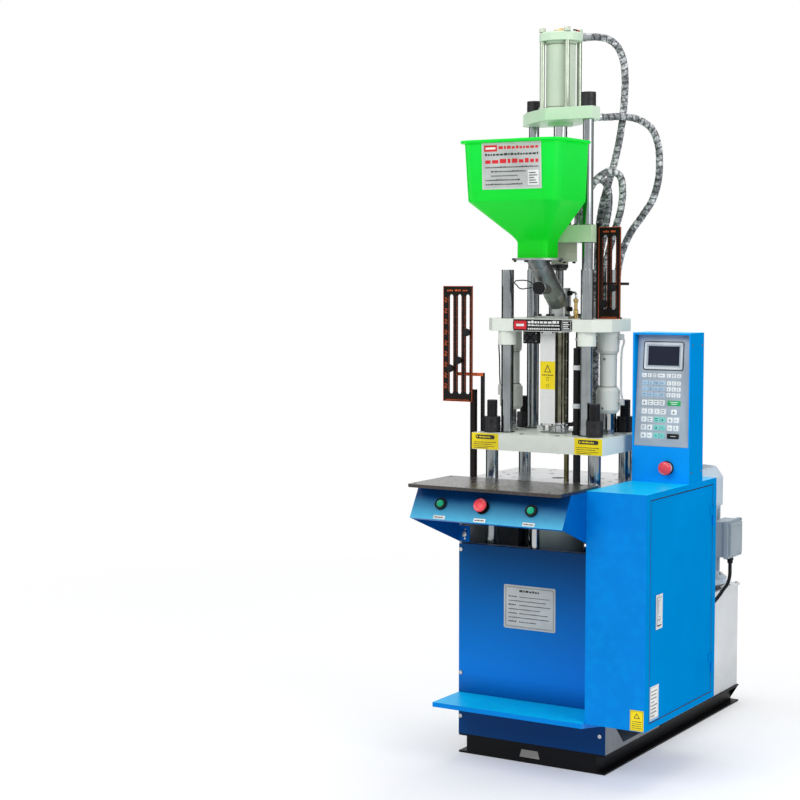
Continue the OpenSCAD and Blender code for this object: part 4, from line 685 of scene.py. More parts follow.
def top_plate_face(p, _):
    """The plate, but for the port block that stands slanting at its right end."""
    along, across = (p.x - 82) * 0.673 + (p.y - 36) * 0.74, (p.x - 82) * 0.74 - (p.y - 36) * 0.673
    return "block" if along > 8 and abs(p.z - 1925) < 13.6 and abs(across) < 14 else "plate"


# the front faces take the console's blue; every other face takes the darker copy, which paints their shade
def console_face(p, n):
    hinge = 660 < p.z < 700 and -185 < p.y < -178.4 and abs(abs(p.x) - 223.5) < 40 and n.y < 0.9
    return "zinc" if hinge else "console" if n.y < -0.5 and p.y < -400 else "shade"


for row in (
    ("base_frame", 1.6, "frame_black", "base"),
    ("body_frame", 1.0, "body_grey", "body"),
    ("body_panels", 0.6, "panel_blue", lambda p, n: "zinc" if p.y < -176.2 else "panel"),
    # the shelf's top takes the lighter blue, a painted light; its other faces take the cabinet blue
    ("foot_shelf", 0.6, "cabinet_blue", lambda p, n: "shelf" if n.z > 0.5 else "cabinet"),
    ("lower_platen", 1.0, "platen_steel", "steel"),
    ("work_table", 1.2, "table_dark", "table"),
    ("console_box", 0.6, "console_blue", console_face),
    ("platen_cylinders", 1.2, "cylinder_paint", lambda p, n: "bolt" if near(p, 0, -148, 32) else "cylinder"),
    ("oil_tank", 1.2, "tank_grey", lambda p, n: "rubber" if p.z > 411 or p.x < -246 else "tank"),
    ("pump_motor", 0.8, "motor_cast", lambda p, n: "cast" if p.z < 431.5 else "motor"),
    ("motor_covers", 1.0, "motor_paint",
     lambda p, n: "cowl" if p.z > 699 else "rubber" if near(p, 282, 700, 12) and p.z < 524 else "tbox"),
    ("valve_manifold", 1.2, "block_steel",
     lambda p, n: "zinc" if near(p, 56, 384, 14) and p.z > 500 else "switch" if p.z > 500.5 else "block"),
    # the cabinet's top faces take the lighter blue, a painted light, and its right faces the darker copy, a painted
    # shade
    ("cabinet_shell", 1.0, "cabinet_blue",
     lambda p, n: "rubber" if p.y > 196.3 else "shelf" if n.z > 0.9 and p.z > 847.5 else
     "door" if n.x > 0.9 else "cabinet"),
    ("switchgear", 1.0, "switch_plastic", lambda p, n: "zinc" if p.x < 251.2 else "switch"),
    # the control box's right faces take the darker copy, a painted shade, and its top faces the lighter blue, a
    # painted light
    ("control_box", 1.0, "box_blue",
     lambda p, n: "door" if n.x > 0.9 else "shelf" if n.z > 0.9 and p.z > 1285 else "box"),
    ("control_bases", 0.8, "bezel_plastic", lambda p, n: "pale" if p.x > 300 else "bezel"),
    ("moving_platen", 1.4, "platen_paint", lambda p, n: "block" if p.z > 980.5 or p.y > 149.3 else "platen"),
    ("tie_bars", 0.8, "bar_chrome", lambda p, n: "black" if p.z > 981 or p.z < 300 else "chrome"),
    ("tie_bar_nuts", 0.8, "nut_black", "black"),
    ("guide_columns", 1.0, "bar_chrome", "chrome"),
    ("top_plate", 1.4, "plate_paint", top_plate_face),
    ("injection_cylinder", 1.0, "cylinder_paint",
     lambda p, n: "brass" if p.z > 2173.2 else "cylinder" if p.z < 2146.9 and near(p, 0, 0, 45) else
     "plate" if near(p, 0, 0, 65.5) else "block"),
    ("cylinder_studs", 0.6, "stud_steel", "stud"),
    ("crosshead", 2.0, "cross_cast", "cast"),
    ("cylinder_rods", 0.8, "bar_chrome",
     lambda p, n: "bolt" if near(p, 92, -62, 12) else "bronze" if near(p, 52, -50, 10) else "rod"),
    ("clamp_pointer", 0.5, "ruler_black", lambda p, n: "orange" if p.x < -226 else "bolt"),
    ("mid_plate", 1.2, "platen_paint",
     lambda p, n: "block" if p.z > 1324.5 or (near(p, 20, 100, 14) and p.z < 1286.5) else "platen"),
    ("seat_cylinders", 0.8, "cylinder_paint", "seat"),
    ("barrel", 0.8, "barrel_steel", "ring"),
    ("barrel_covers", 0.4, "cover_steel", lambda p, n: "guard" if p.y < -38 else "cover"),
    ("feed_throat", 0.8, "throat_cast",
     lambda p, n: "rubber" if p.y < -138.2 and near(p, 4, -142, 20) and abs(p.z - 1416) < 19.5 else "throat"),
    ("ruler_left", 0.5, "ruler_black", "ruler"),
    ("ruler_right", 0.5, "ruler_black", "ruler"),
    ("motor_plate", 1.4, "plate_paint",
     lambda p, n: "block" if p.z > 1600.6 else "bolt" if p.z < 1549.5 else "olive"),
    ("hydraulic_motor", 1.2, "cross_cast", "pump"),
    ("piston_rod", 0.8, "bar_chrome", "rod"),
    ("screw", 0.6, "screw_steel", lambda p, n: "bolt" if p.z > 1476 else "screw"),
    ("cabinet_door", 0.6, "door_blue", lambda p, n: "handle" if p.x > 431.1 and p.y < -190 else "door"),
    ("door_handle", 1.0, "handle_chrome", "handle"),
    ("ejector_rod", 0.8, "bar_chrome", "rod"),
):
    refine(*row)


# ---------------------------------------------------------------- hopper
FOOT, SHOULDER, MOUTH = (100, 81), (298, 219), (314, 227)  # widths and depths
CONE_Z, SHOULDER_Z, MOUTH_Z = 1556, 1665, 1838
LIP, WALL, CORNER = 12.0, 3.5, 40


def ease(a, b, t):
    return a + (b - a) * t


def hopper_ring(size, r, z, t=0.0):
    """An outline of the hopper at the height z, t inside its skin."""
    w, d = size
    return [(x, y, z) for x, y in rounded(8 - w / 2 + t, t - 119 - d, 8 + w / 2 - t, -119 - t, r - t, 10)]


def make_hopper():
    cone = [(0, 1503), (0, 1530), (0, 1549), (0.03, CONE_Z)]
    cone += [(t, ease(CONE_Z, SHOULDER_Z, t)) for t in (0.12, 0.3, 0.5, 0.7, 0.88)]
    cone += [(0.955, 1660.095), (0.985, 1663.965), (1.0, 1666.68)]
    levels = [([ease(a, b, t) for a, b in zip(FOOT, SHOULDER)], CORNER if t > 0.9 else ease(12, CORNER, t), z)
              for t, z in cone]
    levels += [([ease(a, b, t) for a, b in zip(SHOULDER, MOUTH)], CORNER, ease(SHOULDER_Z, MOUTH_Z, t))
               for t in (0.2, 0.45, 0.7, 0.88, 0.955)]
    w, d = MOUTH
    rings = [hopper_ring(*level) for level in levels]
    rings += [hopper_ring((w + s * 2 * LIP, d + s * LIP), CORNER + s * LIP, z)
              for s, z in ((0.35, 1830.2), (0.9, 1830.6), (1.0, 1832), (1.0, 1836.4), (0.94, MOUTH_Z))]
    rings += [hopper_ring((w + 1, d + 1), CORNER, MOUTH_Z, 0.5), hopper_ring(MOUTH, CORNER, 1836.5, 3.0)]
    rings += [hopper_ring(*level, WALL) for level in reversed(levels)]
    n, last = len(rings[0]), (len(rings) - 1) * len(rings[0])
    sill = [[last + k, last + (k + 1) % n, (k + 1) % n, k] for k in range(n)]
    part = Piece("hopper_shell", "seat_unit", "hopper_green", ("hopper",))
    part.put([v for r in rings for v in r], bands(len(rings), n) + sill, "hopper")
    part.done(50)


make_hopper()
p = Piece("hopper_label", "seat_unit", "label_plastic")
p.on(front(0, -338.0, SHOULDER_Z, math.atan2(8, MOUTH_Z - SHOULDER_Z)))
p.field(-77, 32, 113, 164, "grey", 0.0, 0.5)
for edge in ((-75, 33.5, 111, 34.3), (-75, 161.7, 111, 162.5), (-75, 34.3, -74.2, 161.7), (110.2, 34.3, 111, 161.7)):
    p.field(*edge, "white", 0.5, 0.12)
p.field(-69, 139, -27, 157, "redink", 0.5, 0.15)
p.field(-64, 145, -32, 151, "white", 0.65, 0.1)
for x0, y, h, mat, seed in ((-22, 145, 9, "redink", 4), (-66, 127, 7, "ink", 2), (-66, 105, 13, "redink", 7)):
    p.bars(x0, 104, y, h, mat, seed, 0.5)
for i, (x0, x1, y) in enumerate(((-66, 104, 92), (-48, 66, 80), (-48, 40, 68), (-66, 46, 56), (-66, 52, 44))):
    p.bars(x0, x1, y, 4.6, "ink", 3 + i, 0.5)
p.field(70, 42, 104, 84, "white", 0.5, 0.1)
for i in range(5):
    p.field(74, 47 + i * 7, 100 - (i % 3) * 5, 49.5 + i * 7, "ink", 0.6, 0.1)
p.done(weighted=False)

# ---------------------------------------------------------------- keypad and display
pad = front(253, -8, 953, -math.atan2(27, 327))
p = Piece("keypad_plate", "frame", "keypad_plastic", ("keypad_panel",))
p.box((0.3, 0.3, 0.3), (170.7, 327.8, 2.3), "keypad", 0.8, pad)
face_of_pad = pad @ shift(0, 0, 2.3)
p.on(face_of_pad)
p.rim(19, 223, 146, 308, 7, 2.0, 1.0, "bezel")
p.rim(22, 226, 143, 305, 6, 7.0, 2.4, "pale")
p.rim(29.5, 232.5, 136.5, 298.5, 4, 4.5, 1.4, "keypad")


def key(x0, y0, w, h, mat, kind, mark="ink"):
    """A key with a plain mark: a dash, an upright, two dashes or a triangle."""
    p.prism(rounded(x0, y0, x0 + w, y0 + h, 1.8, 3), 1.5, mat, 0.5, p.plane)
    p.on(face_of_pad @ shift(x0 + w / 2, y0 + h / 2, 1.5))
    if kind == 3:
        p.prism([(-w * 0.18, -h * 0.2), (w * 0.18, -h * 0.2), (0, h * 0.24)], 0.12, mark, 0, p.plane)
    marks = {0: [(w * 0.22, -0.7, 0.7)], 1: [(0.7, -h * 0.25, h * 0.25)],
             2: [(w * 0.3, h * 0.12, h * 0.24), (w * 0.2, -h * 0.24, -h * 0.12)]}
    for x, y, top in marks.get(kind, ()):
        p.field(-x, y, x, top, mark, 0, 0.12)
    p.on(face_of_pad)


for i, (x0, w) in enumerate(((17, 15), (36, 11), (51, 11), (66, 24), (95, 13), (111, 13), (127, 14))):
    key(x0, 202, w, 11.5, "key", i % 3)
for j, y in enumerate((179.5, 162, 145)):
    p.rim(18.5 + j * 0.4, y - 2.2, 92.5, y + 14.4, 2, 0.8, 0.3, "pale")
    for i in range(4):
        key(20.5 + 18 * i, y, 16, 12.4, "keyblue", (i + j) % 3)
    for i in range(3):
        key(96.5 + 15.5 * i, y, 13, 12.4, "key", 1)
for i in range(4):
    key(20 + 18.5 * i, 120, 16.5, 16, "key", 2 if i else 3)
key(101, 120.5, 41, 15, "keygreen", 2, "key")
for j, y in enumerate((94.5, 71, 47.5, 24)):
    for g, (x0, mat) in enumerate(((20.5, "key"), (61, "teal" if j else "key"), (103, "key"))):
        if g == 2 and j == 3:
            key(x0 + 1, y, 37, 15, "bezel", 0, "pale")
        elif g == 2 and j == 0:
            key(x0 + 10, y, 18, 15, "key", 3)
        else:
            p.rim(x0 - 2, y - 2, x0 + 38.5, y + 17.5, 2.5, 0.8, 0.3, "pale")
            for i in range(2):
                key(x0 + 19 * i, y, 16.5, 15.4, mat, (i + j + g) % 4)
p.done(weighted=False)
p = Piece("display_window", "frame", "screen_glass", ("display_screen",))
p.box((24.4, 221.6, 0.4), (132.6, 298.6, 1.6), "bezel", 0.3, pad)
p.prism(rounded(34, 237.5, 132, 294, 1.5), 1.4, "screen", 0.4, pad @ shift(0, 0, 2.0))
p.done(weighted=False)

# ---------------------------------------------------------------- console controls
sloped = front(0, -410, 845, -rad(30.49))
START_X, STOP_X, BUTTON_Y = (-153, 139), -17, -56.4


def on_face(*xs):
    return [sloped @ shift(x, BUTTON_Y, 0) for x in xs]


for name, x in zip(("start_button_left", "start_button_right"), START_X):
    p = Piece(name + "_cap", name, "button_green", (name,))
    p.lathe([(0, -5), (10.6, -5), (11, -4.4), (11, 9.6), (10.4, 10.9), (9.4, 11.5), (8.9, 11.4), (8.4, 11.0),
             (0, 10.9)], "green", on_face(x), 48)
    p.done(50)

stop = on_face(STOP_X)[0]
box_front = front(360, -11, 892)
for name, m in (("stop_head_console", stop), ("stop_head_box", box_front)):
    p = Piece(name + "_cap", name, "stop_red", (name,))
    p.lathe([(0, -5), (8, -5), (8, 12), (13.4, 12), (14, 12.4), (19.4, 16.4), (20, 17.6), (20, 20.6), (19.6, 22),
             (18.2, 23.6), (15.6, 25), (11, 26.2), (5, 26.9), (0, 27)], "red", m, 56)
    for start in (200, 380):
        p.tube([m @ Vector(q) for q in around(15.4, 72, 25.1, rad(start))[:17]], 0.45, "pale", 6)
    p.done(45)

p = Piece("console_fittings", "frame", "bezel_plastic")
p.ring(17.5, 15.2, 7.9, 9.0, "bezel", on_face(*START_X), 40)
p.ring(13.0, 11.6, 8.0, 8.6, "bezel", on_face(*START_X), 40, 0.2)
p.ring(20.5, 16.2, 0.0, 3.0, "bezel", stop, 40)
p.ring(20.4, 16.2, 0.0, 2.0, "bezel", box_front, 40)
p.on(sloped)
for x in (-168, -36, 120):
    p.field(x, -101.5, x + 38, -90.5, "white", 0, 0.5)
    p.bars(x + 4, x + 34, -98, 4.2, "ink", x % 7 + 2, 0.5)
p.cap(5, 3.4, "bolt", grid((-236, 236), -397, CONSOLE_TOP, DOWN))
p.cyl(3.2, 0, 1.6, "zinc", grid((-223.5, 223.5), -178.3, (660, 688), FRONT), 16)
p.done()


# ---------------------------------------------------------------- rulers and dogs
def dress_ruler(name, body, x, y, z, w, h, slots, s0, s1, words):
    """Prints of a ruler w by h whose slots, at the given x, run from s0 to s1."""
    p = Piece(name, body, "ruler_black")
    p.on(front(x, y, z))
    for edge in border(0, 0, w, h, 1.4):
        p.field(*edge, "orange", 0.0, 0.2)
    for s in slots:
        for side in (s - 8.6, s + 8.6):
            for k in range(int((s1 - s0) / 5) + 1):
                half = 1.1 if k % 5 else 1.9
                p.field(side - half, s0 + 5 * k, side + half, s0 + 5 * k + 1.3, "orange", 0, 0.15)
    for k in range(words):
        foot = s0 + 8 + k * (s1 - s0 - 24) / 8
        for x0, x1, rise, thick in ((5, 14, 0, 1.6), (5, 11, 4, 1.6), (8, 15, 8, 1.6), (5, 13, 12, 1.4)):
            p.field(x0, foot + rise, x1, foot + rise + thick, "orange", 0, 0.15)
    pitch = (w - 20) / len(slots)
    for k in range(len(slots)):
        p.bars(14 + k * pitch, 14 + (k + 0.72) * pitch, h - 16, 5.5, "orange", 3 + k)
    p.bars(9, w - 10, 4, 2.6, "orange", 5)
    p.cyl(2.2, 0, 0.9, "ruler", p.spots((5, w - 5), (5, h - 5)), 12)
    p.done(weighted=False)


LEFT_RULER, RIGHT_RULER = (-328, -133, 1070), (128, 2, 1324)
LEFT_SLOTS, RIGHT_SLOTS = (28.5, 57, 85.5), (21, 49)
dress_ruler("ruler_left_print", "frame", *LEFT_RULER, 102, 351, LEFT_SLOTS, 32, 318, 9)
dress_ruler("ruler_right_print", "seat_unit", *RIGHT_RULER, 71, 272, RIGHT_SLOTS, 36, 240, 0)

for side, (x, y, z), slots, heights in (("left", LEFT_RULER, LEFT_SLOTS, (101, 126, 211)),
                                        ("right", RIGHT_RULER, RIGHT_SLOTS, (45, 92))):
    for letter, slot, height in zip("abc", slots, heights):
        node = f"dog_{side}_{letter}"
        p = Piece(node + "_knob", node, "dog_black", (node,))
        m = front(x + slot, y, z + height)
        p.lathe([(0, 0.3), (9.5, 0.3), (10.2, 1.0), (10.4, 2.2), (11.6, 3.4), (12, 4.4), (12, 9.0), (11.2, 10.1),
                 (8, 10.3), (0, 10.3)], "dog", m, 48,
                lambda a, h: 1.0 - 0.07 * (0.5 + 0.5 * cos(10 * a)) if h > 2.5 else 1)
        p.cyl(3.2, 10.2, 11.4, "bolt", m, 20, 0.4)
        p.cyl(4.0, -5.3, 0.7, "bolt", m, 24, 0.4)
        p.box((-7, -7, -9.3), (7, 7, -4.3), "dog", 0.8, m)
        p.done(50)

# ---------------------------------------------------------------- labels on the body, the platens and the plates
p = Piece("spec_plate", "frame", "label_plastic", ("label_plates",))
p.on(front(0, -176, 0))
p.prism(rounded(-90, 402, 82, 533, 5), 0.8, "grey", 0.2, p.plane)
p.on(p.plane, 0.8)
p.rim(-85, 407, 77, 528, 5, 0.9, 0.2, "ink")
p.rim(-82.5, 409.5, 74.5, 525.5, 4, 0.5, 0.2, "ink")
p.bars(-38, 32, 513, 7, "ink", 4)
for k, x1 in enumerate((64, 50, 66, 30, 58, 62, 20)):
    y = 497 - k * 12.5
    if k % 2 == 0:
        p.bars(-74, -46, y, 4.2, "ink", k + 2)
    p.bars(-74 if k % 2 else -38, x1, y, 3.2, "ink", k + 5)
p.cyl(1.9, 0, 1.0, "zinc", p.spots((-86, 78), (406, 529)), 14)
p.on(front(0, -314, 0))
p.field(386, 185, 427, 243, "yellow", 0, 0.6)
p.on(p.plane, 0.6)
p.rim(388, 187, 425, 241, 1.5, 0.7, 0.2, "ink", 3)
for k in range(4):
    p.bars(392, 421, 192 + k * 6, 2.6, "ink", k + 3)
p.prism([(397, 220), (416, 220), (406.5, 236)], 0.2, "ink", 0, p.plane)
p.prism([(400.5, 222), (412.5, 222), (406.5, 232)], 0.2, "yellow", 0, p.plane @ shift(0, 0, 0.1))
p.done(weighted=False)

p = Piece("door_label", "door", "label_plastic")
p.on(shift(DOOR_FACE, 0, 0) @ SIDEWAYS)
p.field(-282, 208, -222, 304, "white", 0, 0.4)
p.on(p.plane, 0.4)
p.rim(-279, 211, -225, 301, 2, 0.6, 0.2, "ink", 3)
for k in range(8):
    p.bars(-274, (-232, -240, -236, -250)[k % 4], 288 - k * 10, 3.6, "ink", k + 2)
p.done(weighted=False)

p = Piece("platen_labels", "clamp_unit", "label_plastic")
for x0, x1 in ((-217, -126), (126.5, 215.5)):
    p.on(front(0, -149, 0))
    p.field(x0, 931, x1, 979.4, "yellow", 0, 0.5)
    p.on(p.plane, 0.5)
    c = (x0 + x1) / 2
    p.prism(rounded(c - 33, 962, c + 33, 974.5, 6), 0.25, "ink", 0, p.plane)
    for k, (y, short) in enumerate(((951, 8), (945, 20), (939, 12), (934, 34))):
        p.bars(x0 + 7, x1 - short, y, 2.6, "ink", k + 3)
    p.bars(c - 20, c + 18, 966, 4.6, "yellow", 4, 0.25)
    p.cyl(2.6, 0.25, 0.45, "yellow", p.spots((c - 27,), (968.3,)), 16, 0)
p.done(weighted=False)

p = Piece("mid_nameplate", "seat_unit", "label_plastic")
p.on(front(0, -117, 0))
p.prism(rounded(-95, 1288.6, 101, 1322.6, 1.5), 0.8, "bezel", 0.2, p.plane)
p.on(p.plane, 0.8)
p.field(-92, 1293, -50, 1318, "redink", 0, 0.2)
p.field(-84, 1302, -58, 1309, "white", 0.2, 0.1)
for k, (h, y) in enumerate(((8, 1311), (4.5, 1303), (6, 1292.5))):
    p.bars(-45, 62, y, h, "white", k + 3)
p.rim(68, 1291, 97, 1320, 1.5, 1.0, 0.2, "white", 3)
for k in range(4):
    p.field(72, 1295 + 6 * k, 92 - 4 * (k % 2), 1298 + 6 * k, "white", 0, 0.15)
p.cyl(1.3, 0, 0.8, "zinc", p.spots((-93.2, 99), (1291.5, 1319.5)), 12)
# the yellow label of the guard
p.on(front(0, -72, 0))
p.field(-26, 1113, 23, 1196.5, "yellow", 0, 0.4)
p.on(p.plane, 0.4)
p.prism([(-13, 1164), (10, 1164), (-1.5, 1187)], 0.2, "ink", 0, p.plane)
p.prism([(-9.5, 1166), (6.5, 1166), (-1.5, 1182)], 0.25, "yellow", 0, p.plane)
p.bars(-20, 17, 1154, 4, "ink", 3)
for y in (1144, 1124):
    p.rim(-6, y - 5, 3, y + 5, 1.5, 1.0, 0.2, "ink", 3)
p.done(weighted=False)

# ---------------------------------------------------------------- injection unit: fittings and fasteners
p = Piece("cylinder_trim", "injection_cylinder", "stud_steel")
p.lathe([(7.6, 0), (12, 0), (12, 7), (10.6, 8.4), (7.6, 8.4)], "stud", corners(41, 41, CYLINDER_FOOT, turn=14), 6)
p.ring(13.6, 7.6, 0, 1.6, "stud", corners(41, 41, CYLINDER_FOOT), 24, 0.3)
p.ring(50, 43.8, 0, 6, "cylinder", at(0, 0, CYLINDER_FOOT), 64)
p.ring(48, 43.8, -6, 0, "cylinder", at(0, 0, CYLINDER_TOP), 64)
p.ring(44.8, 43.8, 0, 1.2, "rubber", grid(0, 0, (CYLINDER_FOOT + 10, CYLINDER_TOP - 10)), 64, 0.2)
elbow, post, spout = at(-4, -1, 2179.5, (-1, -0.25, 0)), at(34, 20, 2173), at(34, 20, 2180, (0.9, 0.44, 0))
p.cyl(4.4, 0, 15, "brass", elbow, 20)
p.ring(5.6, 3, 12, 16.5, "brass", elbow, 6, 0.3)
p.cyl(5.2, 0, 7, "white", post, 20)
p.cyl(3.6, 7, 12, "rubber", post, 16)
p.cyl(3.0, 0, 13, "redink", spout, 16)
p.ring(4.4, 2.4, 4, 8, "rubber", spout, 16, 0.3)
p.cyl(6.4, 0, 5, "white", at(18, 10, 2173), 8)
p.done()

p = Piece("top_plate_trim", "top_plate", "nut_black")
for x, y in TALL:
    # black discs paint the shade in holes round each column
    p.cyl(2.6, -0.2, 0.35, "dark", wheel(3, 22, 200, x, y, 1964), 14, 0)
p.ring(22.5, 21, 1944.2, 1946.4, "black", each(TALL, 0), 48, 0.4)
p.cap(6, 0.9, "black", each(TALL, 1984.6))
p.done()

p = Piece("motor_plate_trim", "motor_plate", "nut_black")
p.cap(6.5, 6.5, "bolt", corners(33, 33, MOTOR_TOP))
p.cap(5, 5, "bolt", corners(32, 32, 1494, DOWN))
p.ring(20.5, 16.3, 0, 1.6, "rubber", each(TALL, MOTOR_TOP) + each(TALL, MOTOR_UNDER, DOWN), 48, 0.4)
p.done()

p = Piece("motor_trim", "hydraulic_motor", "cross_cast")
p.ring(52.8, 51, 0, 1.6, "pump", grid(0, 0, (1500, 1522, 1544)), 72, 0.4)
p.cyl(5, 0, 34, "pump", wheel(6, 45.5, 30, 0, 0, 1497, UP), 20)
p.done()

# ---------------------------------------------------------------- middle plate and seat cylinders
p = Piece("mid_plate_trim", "mid_plate", "nut_black")
p.cap(6, 6.5, "bolt", corners(45, 41, 1331))
p.ring(20.6, 18.9, 0, 1.2, "rubber", corners(*COLUMNS, MID_TOP), 48, 0.3)
p.ring(24, 18.9, 0, 1.0, "rubber", corners(*COLUMNS, MID_UNDER, DOWN), 48, 0.3)
# connector box with its leads, under the plate
p.box((-82, -78, 1249), (-30, -46, 1286.8), "rubber", 1.5)
p.box((-78, -79.4, 1253), (-34, -78, 1283), "bolt", 0.5)
p.cyl(1.6, 0, 0.8, "zinc", grid((-75, -37), -79.4, (1256, 1280), FRONT), 12)
p.tube([(-72, -80.5, 1280), (-62, -82, 1270), (-48, -82, 1262), (-40, -80.5, 1254)], 1.3, "rubber", 8, 4)
p.tube([(-42, -80.5, 1281), (-52, -82, 1272), (-64, -82, 1262), (-72, -80.5, 1255)], 1.3, "rubber", 8, 4)
# water line of the throat
p.lathe([(0, 0), (8.4, 0), (8.4, 8), (6, 9.5), (6, 13), (7.4, 14), (7.4, 26), (5.2, 28), (5.2, 48), (7.6, 50),
         (7.6, 58), (4.4, 60), (0, 60)], "brass", at(60, -10, MID_TOP), 24,
        lambda a, h: 1.0 - (0.05 * (0.5 + 0.5 * cos(6 * a)) if h < 9 or 48 < h < 59 else 0))
p.tube([(60, -10, 1382), (60, -9, 1394), (56, -6, 1401), (48, -1, 1402), (42, 0, 1401)], 3.6, "zinc", 12, 4)
# heater conduit beside the barrel
p.tube([(64, -2, 1286.5), (64, -2, 1200), (64, -2, 1100), (64, -2, 1034), (60, -2, 1016), (48, -1, 1006),
        (33, 0, 1004)], 6.6, "black", 14, 2.6, lambda s, a: 1.0 if (s / 5.2) % 1 < 0.62 else 0.9)
p.ring(8.4, 6.2, -4, 4, "pale", grid(*CONDUIT, (1262, 1186, 1068)), 28)
p.done()

p = Piece("seat_trim", "seat_cylinders", "cylinder_paint")
p.ring(26.4, 24, 0, 1.3, "rubber", grid(SEATS, 0, (1219.6, 1122.6)), 48, 0.3)
for r, z in ((35.7, 1104), (32.7, 1226)):
    p.ring(r, r - 2.4, 0, 1.3, "seat", grid(SEATS, 0, z), 48, 0.3)
p.cyl(4.2, -1, 2.4, "zinc", grid(SEATS, -25.3, 1206, FRONT) + grid(SEATS, -34.8, 1060, FRONT), 8)
for x, z in ((195, 1271), (198, 1078)):
    p.cyl(7.4, -2, 5, "zinc", at(x, 0, z, RIGHT), 6)
    p.cyl(6.4, 5, 13, "grey", at(x, 0, z, RIGHT), 24)
    p.ring(9.4, 5.6, 6, 11, "grey", at(x, 0, z, RIGHT), 24)
    p.cyl(6.8, -9, 9, "grey", at(x + 12, 0, z), 24)
p.tube([(207, 0, 1271), (213, 0, 1264), (214, -1, 1256), (209, -2, 1238), (206.5, -2, 1210), (206, -2, 1150),
        (206.5, -1, 1104), (209, 0, 1092), (210, 0, 1084)], 3.0, "grey", 12, 5)
p.cyl(4.4, -2, 6, "rubber", at(-195, 0, 1270, LEFT), 16)
p.tube([(-199, 0, 1270), (-205, -1, 1264), (-206, -2, 1240), (-203, -3, 1200), (-202, -3, 1150),
        (-201, -2, 1118)], 2.0, "rubber", 10, 5)
p.box((-206, -7, 1086), (-197.4, 3, 1118), "white", 1.2)
p.box((-206.4, -6.2, 1097), (-205.6, 2.2, 1107), "rubber", 0.2)
p.done()

# ribbed sleeve of a rod on the moving platen
p = Piece("sleeve", "moving_platen", "cable_black")
p.lathe([(11.1, 980.2), (14.5, 980.2), (14.5, 990), (12.3, 991)] +
        [(12.3 - 0.5 * (k % 2), 994 + 4 * k) for k in range(61)] + [(11.9, 1238), (0, 1238.9)], "rubber", at(*ROD))
p.ring(13.6, 11.3, -7, 7, "pale", grid(*ROD, (1066, 1180)))
p.done()

# ---------------------------------------------------------------- throat, port and barrel
p = Piece("throat_trim", "feed_throat", "throat_cast")
ports = grid(31, -2, (1400, 1352), RIGHT)
p.cyl(8.2, 0, 7, "bolt", ports, 6)
p.cyl(6.4, 7, 12, "rubber", ports, 20)
p.ring(7.4, 5, 8, 10.4, "rubber", ports, 20)
p.cyl(1.6, 0, 34, "zinc", at(38.6, -2, 1360), 10)
p.cyl(5.2, 0, 6, "bolt", [at(36 * cos(rad(a)), 36 * sin(rad(a)), THROAT_FOOT) for a in (200, 232, 262)], 6)
p.ring(33.4, 31, 0, 4, "throat", at(0, 0, 1410), 56)
p.ring(33.8, 31, 0, 6, "throat", at(0, 0, THROAT_FOOT), 56)
# weld seam and clamp of the chute
down_chute = Vector((*CHUTE, 133)).normalized()
for r, t, w in ((30.5, 56, 1.6), (31.6, 196, 3.2)):
    place = at(*(Vector((0, 0, 1364)) + down_chute * t), down_chute)
    p.ring(r, 29, -w / 2, w / 2, "throat", place, 56, 0.6)
# cleaning port: rim, black cap with its recess, and the wire bail that holds it
m = at(4, -138, 1416, FRONT)
p.ring(20.4, 17.6, -4, 2.5, "throat", m, 48)
for inner, outer in zip(around(4, 4, 4.4), around(14, 4, 4.4)):
    p.tube([m @ Vector(inner), m @ Vector(outer)], 1.0, "bolt", 6)
p.ring(16.6, 14.6, 3.4, 5.0, "bolt", m, 40, 0.4)
p.tube([(-15, -139, 1424), (-26, -142, 1434), (-40, -146, 1438), (-58, -150, 1438), (-70, -151, 1436),
        (-72, -152, 1430), (-64, -153, 1424), (-56, -154, 1416), (-44, -155, 1413), (-30, -152, 1415),
        (-16, -146, 1417)], 1.7, "bolt", 10, 3)
# flange screws under the hopper
p.hexbolt(4.6, 5.2, "bolt", wheel(6, 66, 30, *CHUTE, 1497, DOWN))
p.done()

p = Piece("barrel_trim", "barrel_covers", "cover_steel")
p.ring(31.2, 29.6, 0, 6, "ring", grid(0, 0, (1004.2, 1280)), 64, 0.5)
c, s = cos(rad(-18)), sin(rad(-18))
p.cyl(3.0, -0.6, 1.8, "zinc", grid(29.8 * c, 29.8 * s, range(1030, 1255, 56), (c, s, 0)), 6)
for z0, z1 in ((1004.4, 1011), (1279, 1286.4)):
    p.box((-26, -73.6, z0), (22, -72.0, z1), "zinc", 0.4)
p.cyl(2.4, 0, 1.6, "bolt", grid((-20, 16), -73.6, (1007.7, 1282.7), FRONT), 14)
p.box((-40, -66, 988), (-20, -48, 1003.6), "grey", 1.5)
p.done()
p = Piece("nozzle_bands", "barrel", "barrel_steel")
p.ring(31.4, 29.6, 0, 8.6, "ring", grid(0, 0, (979.5, 991)), 64, 0.8)
p.box((-6, -36, 981), (6, -30, 998), "zinc", 0.8)
p.cap(2.6, 2.4, "zinc", grid(0, -36, (985.5, 993.5), FRONT))
p.done()

# ---------------------------------------------------------------- tie bars: threads and the nuts' flats
p = Piece("tie_trim", "tie_bars", "nut_black")
thread = [(r, 1030 + 2.9 * k + dz) for k in range(16) for r, dz in ((15.0, 0), (16.1, 0.9), (16.1, 1.5), (15.0, 2.4))]
bars = corners(*BARS, 0)
p.lathe([(14, 1029)] + thread + [(14, 1077.4)], "black", bars, 36)
p.lathe([(25.2, 985), (26.8, 987), (26.8, 1000), (25.2, 1002)], "black", bars, 8)
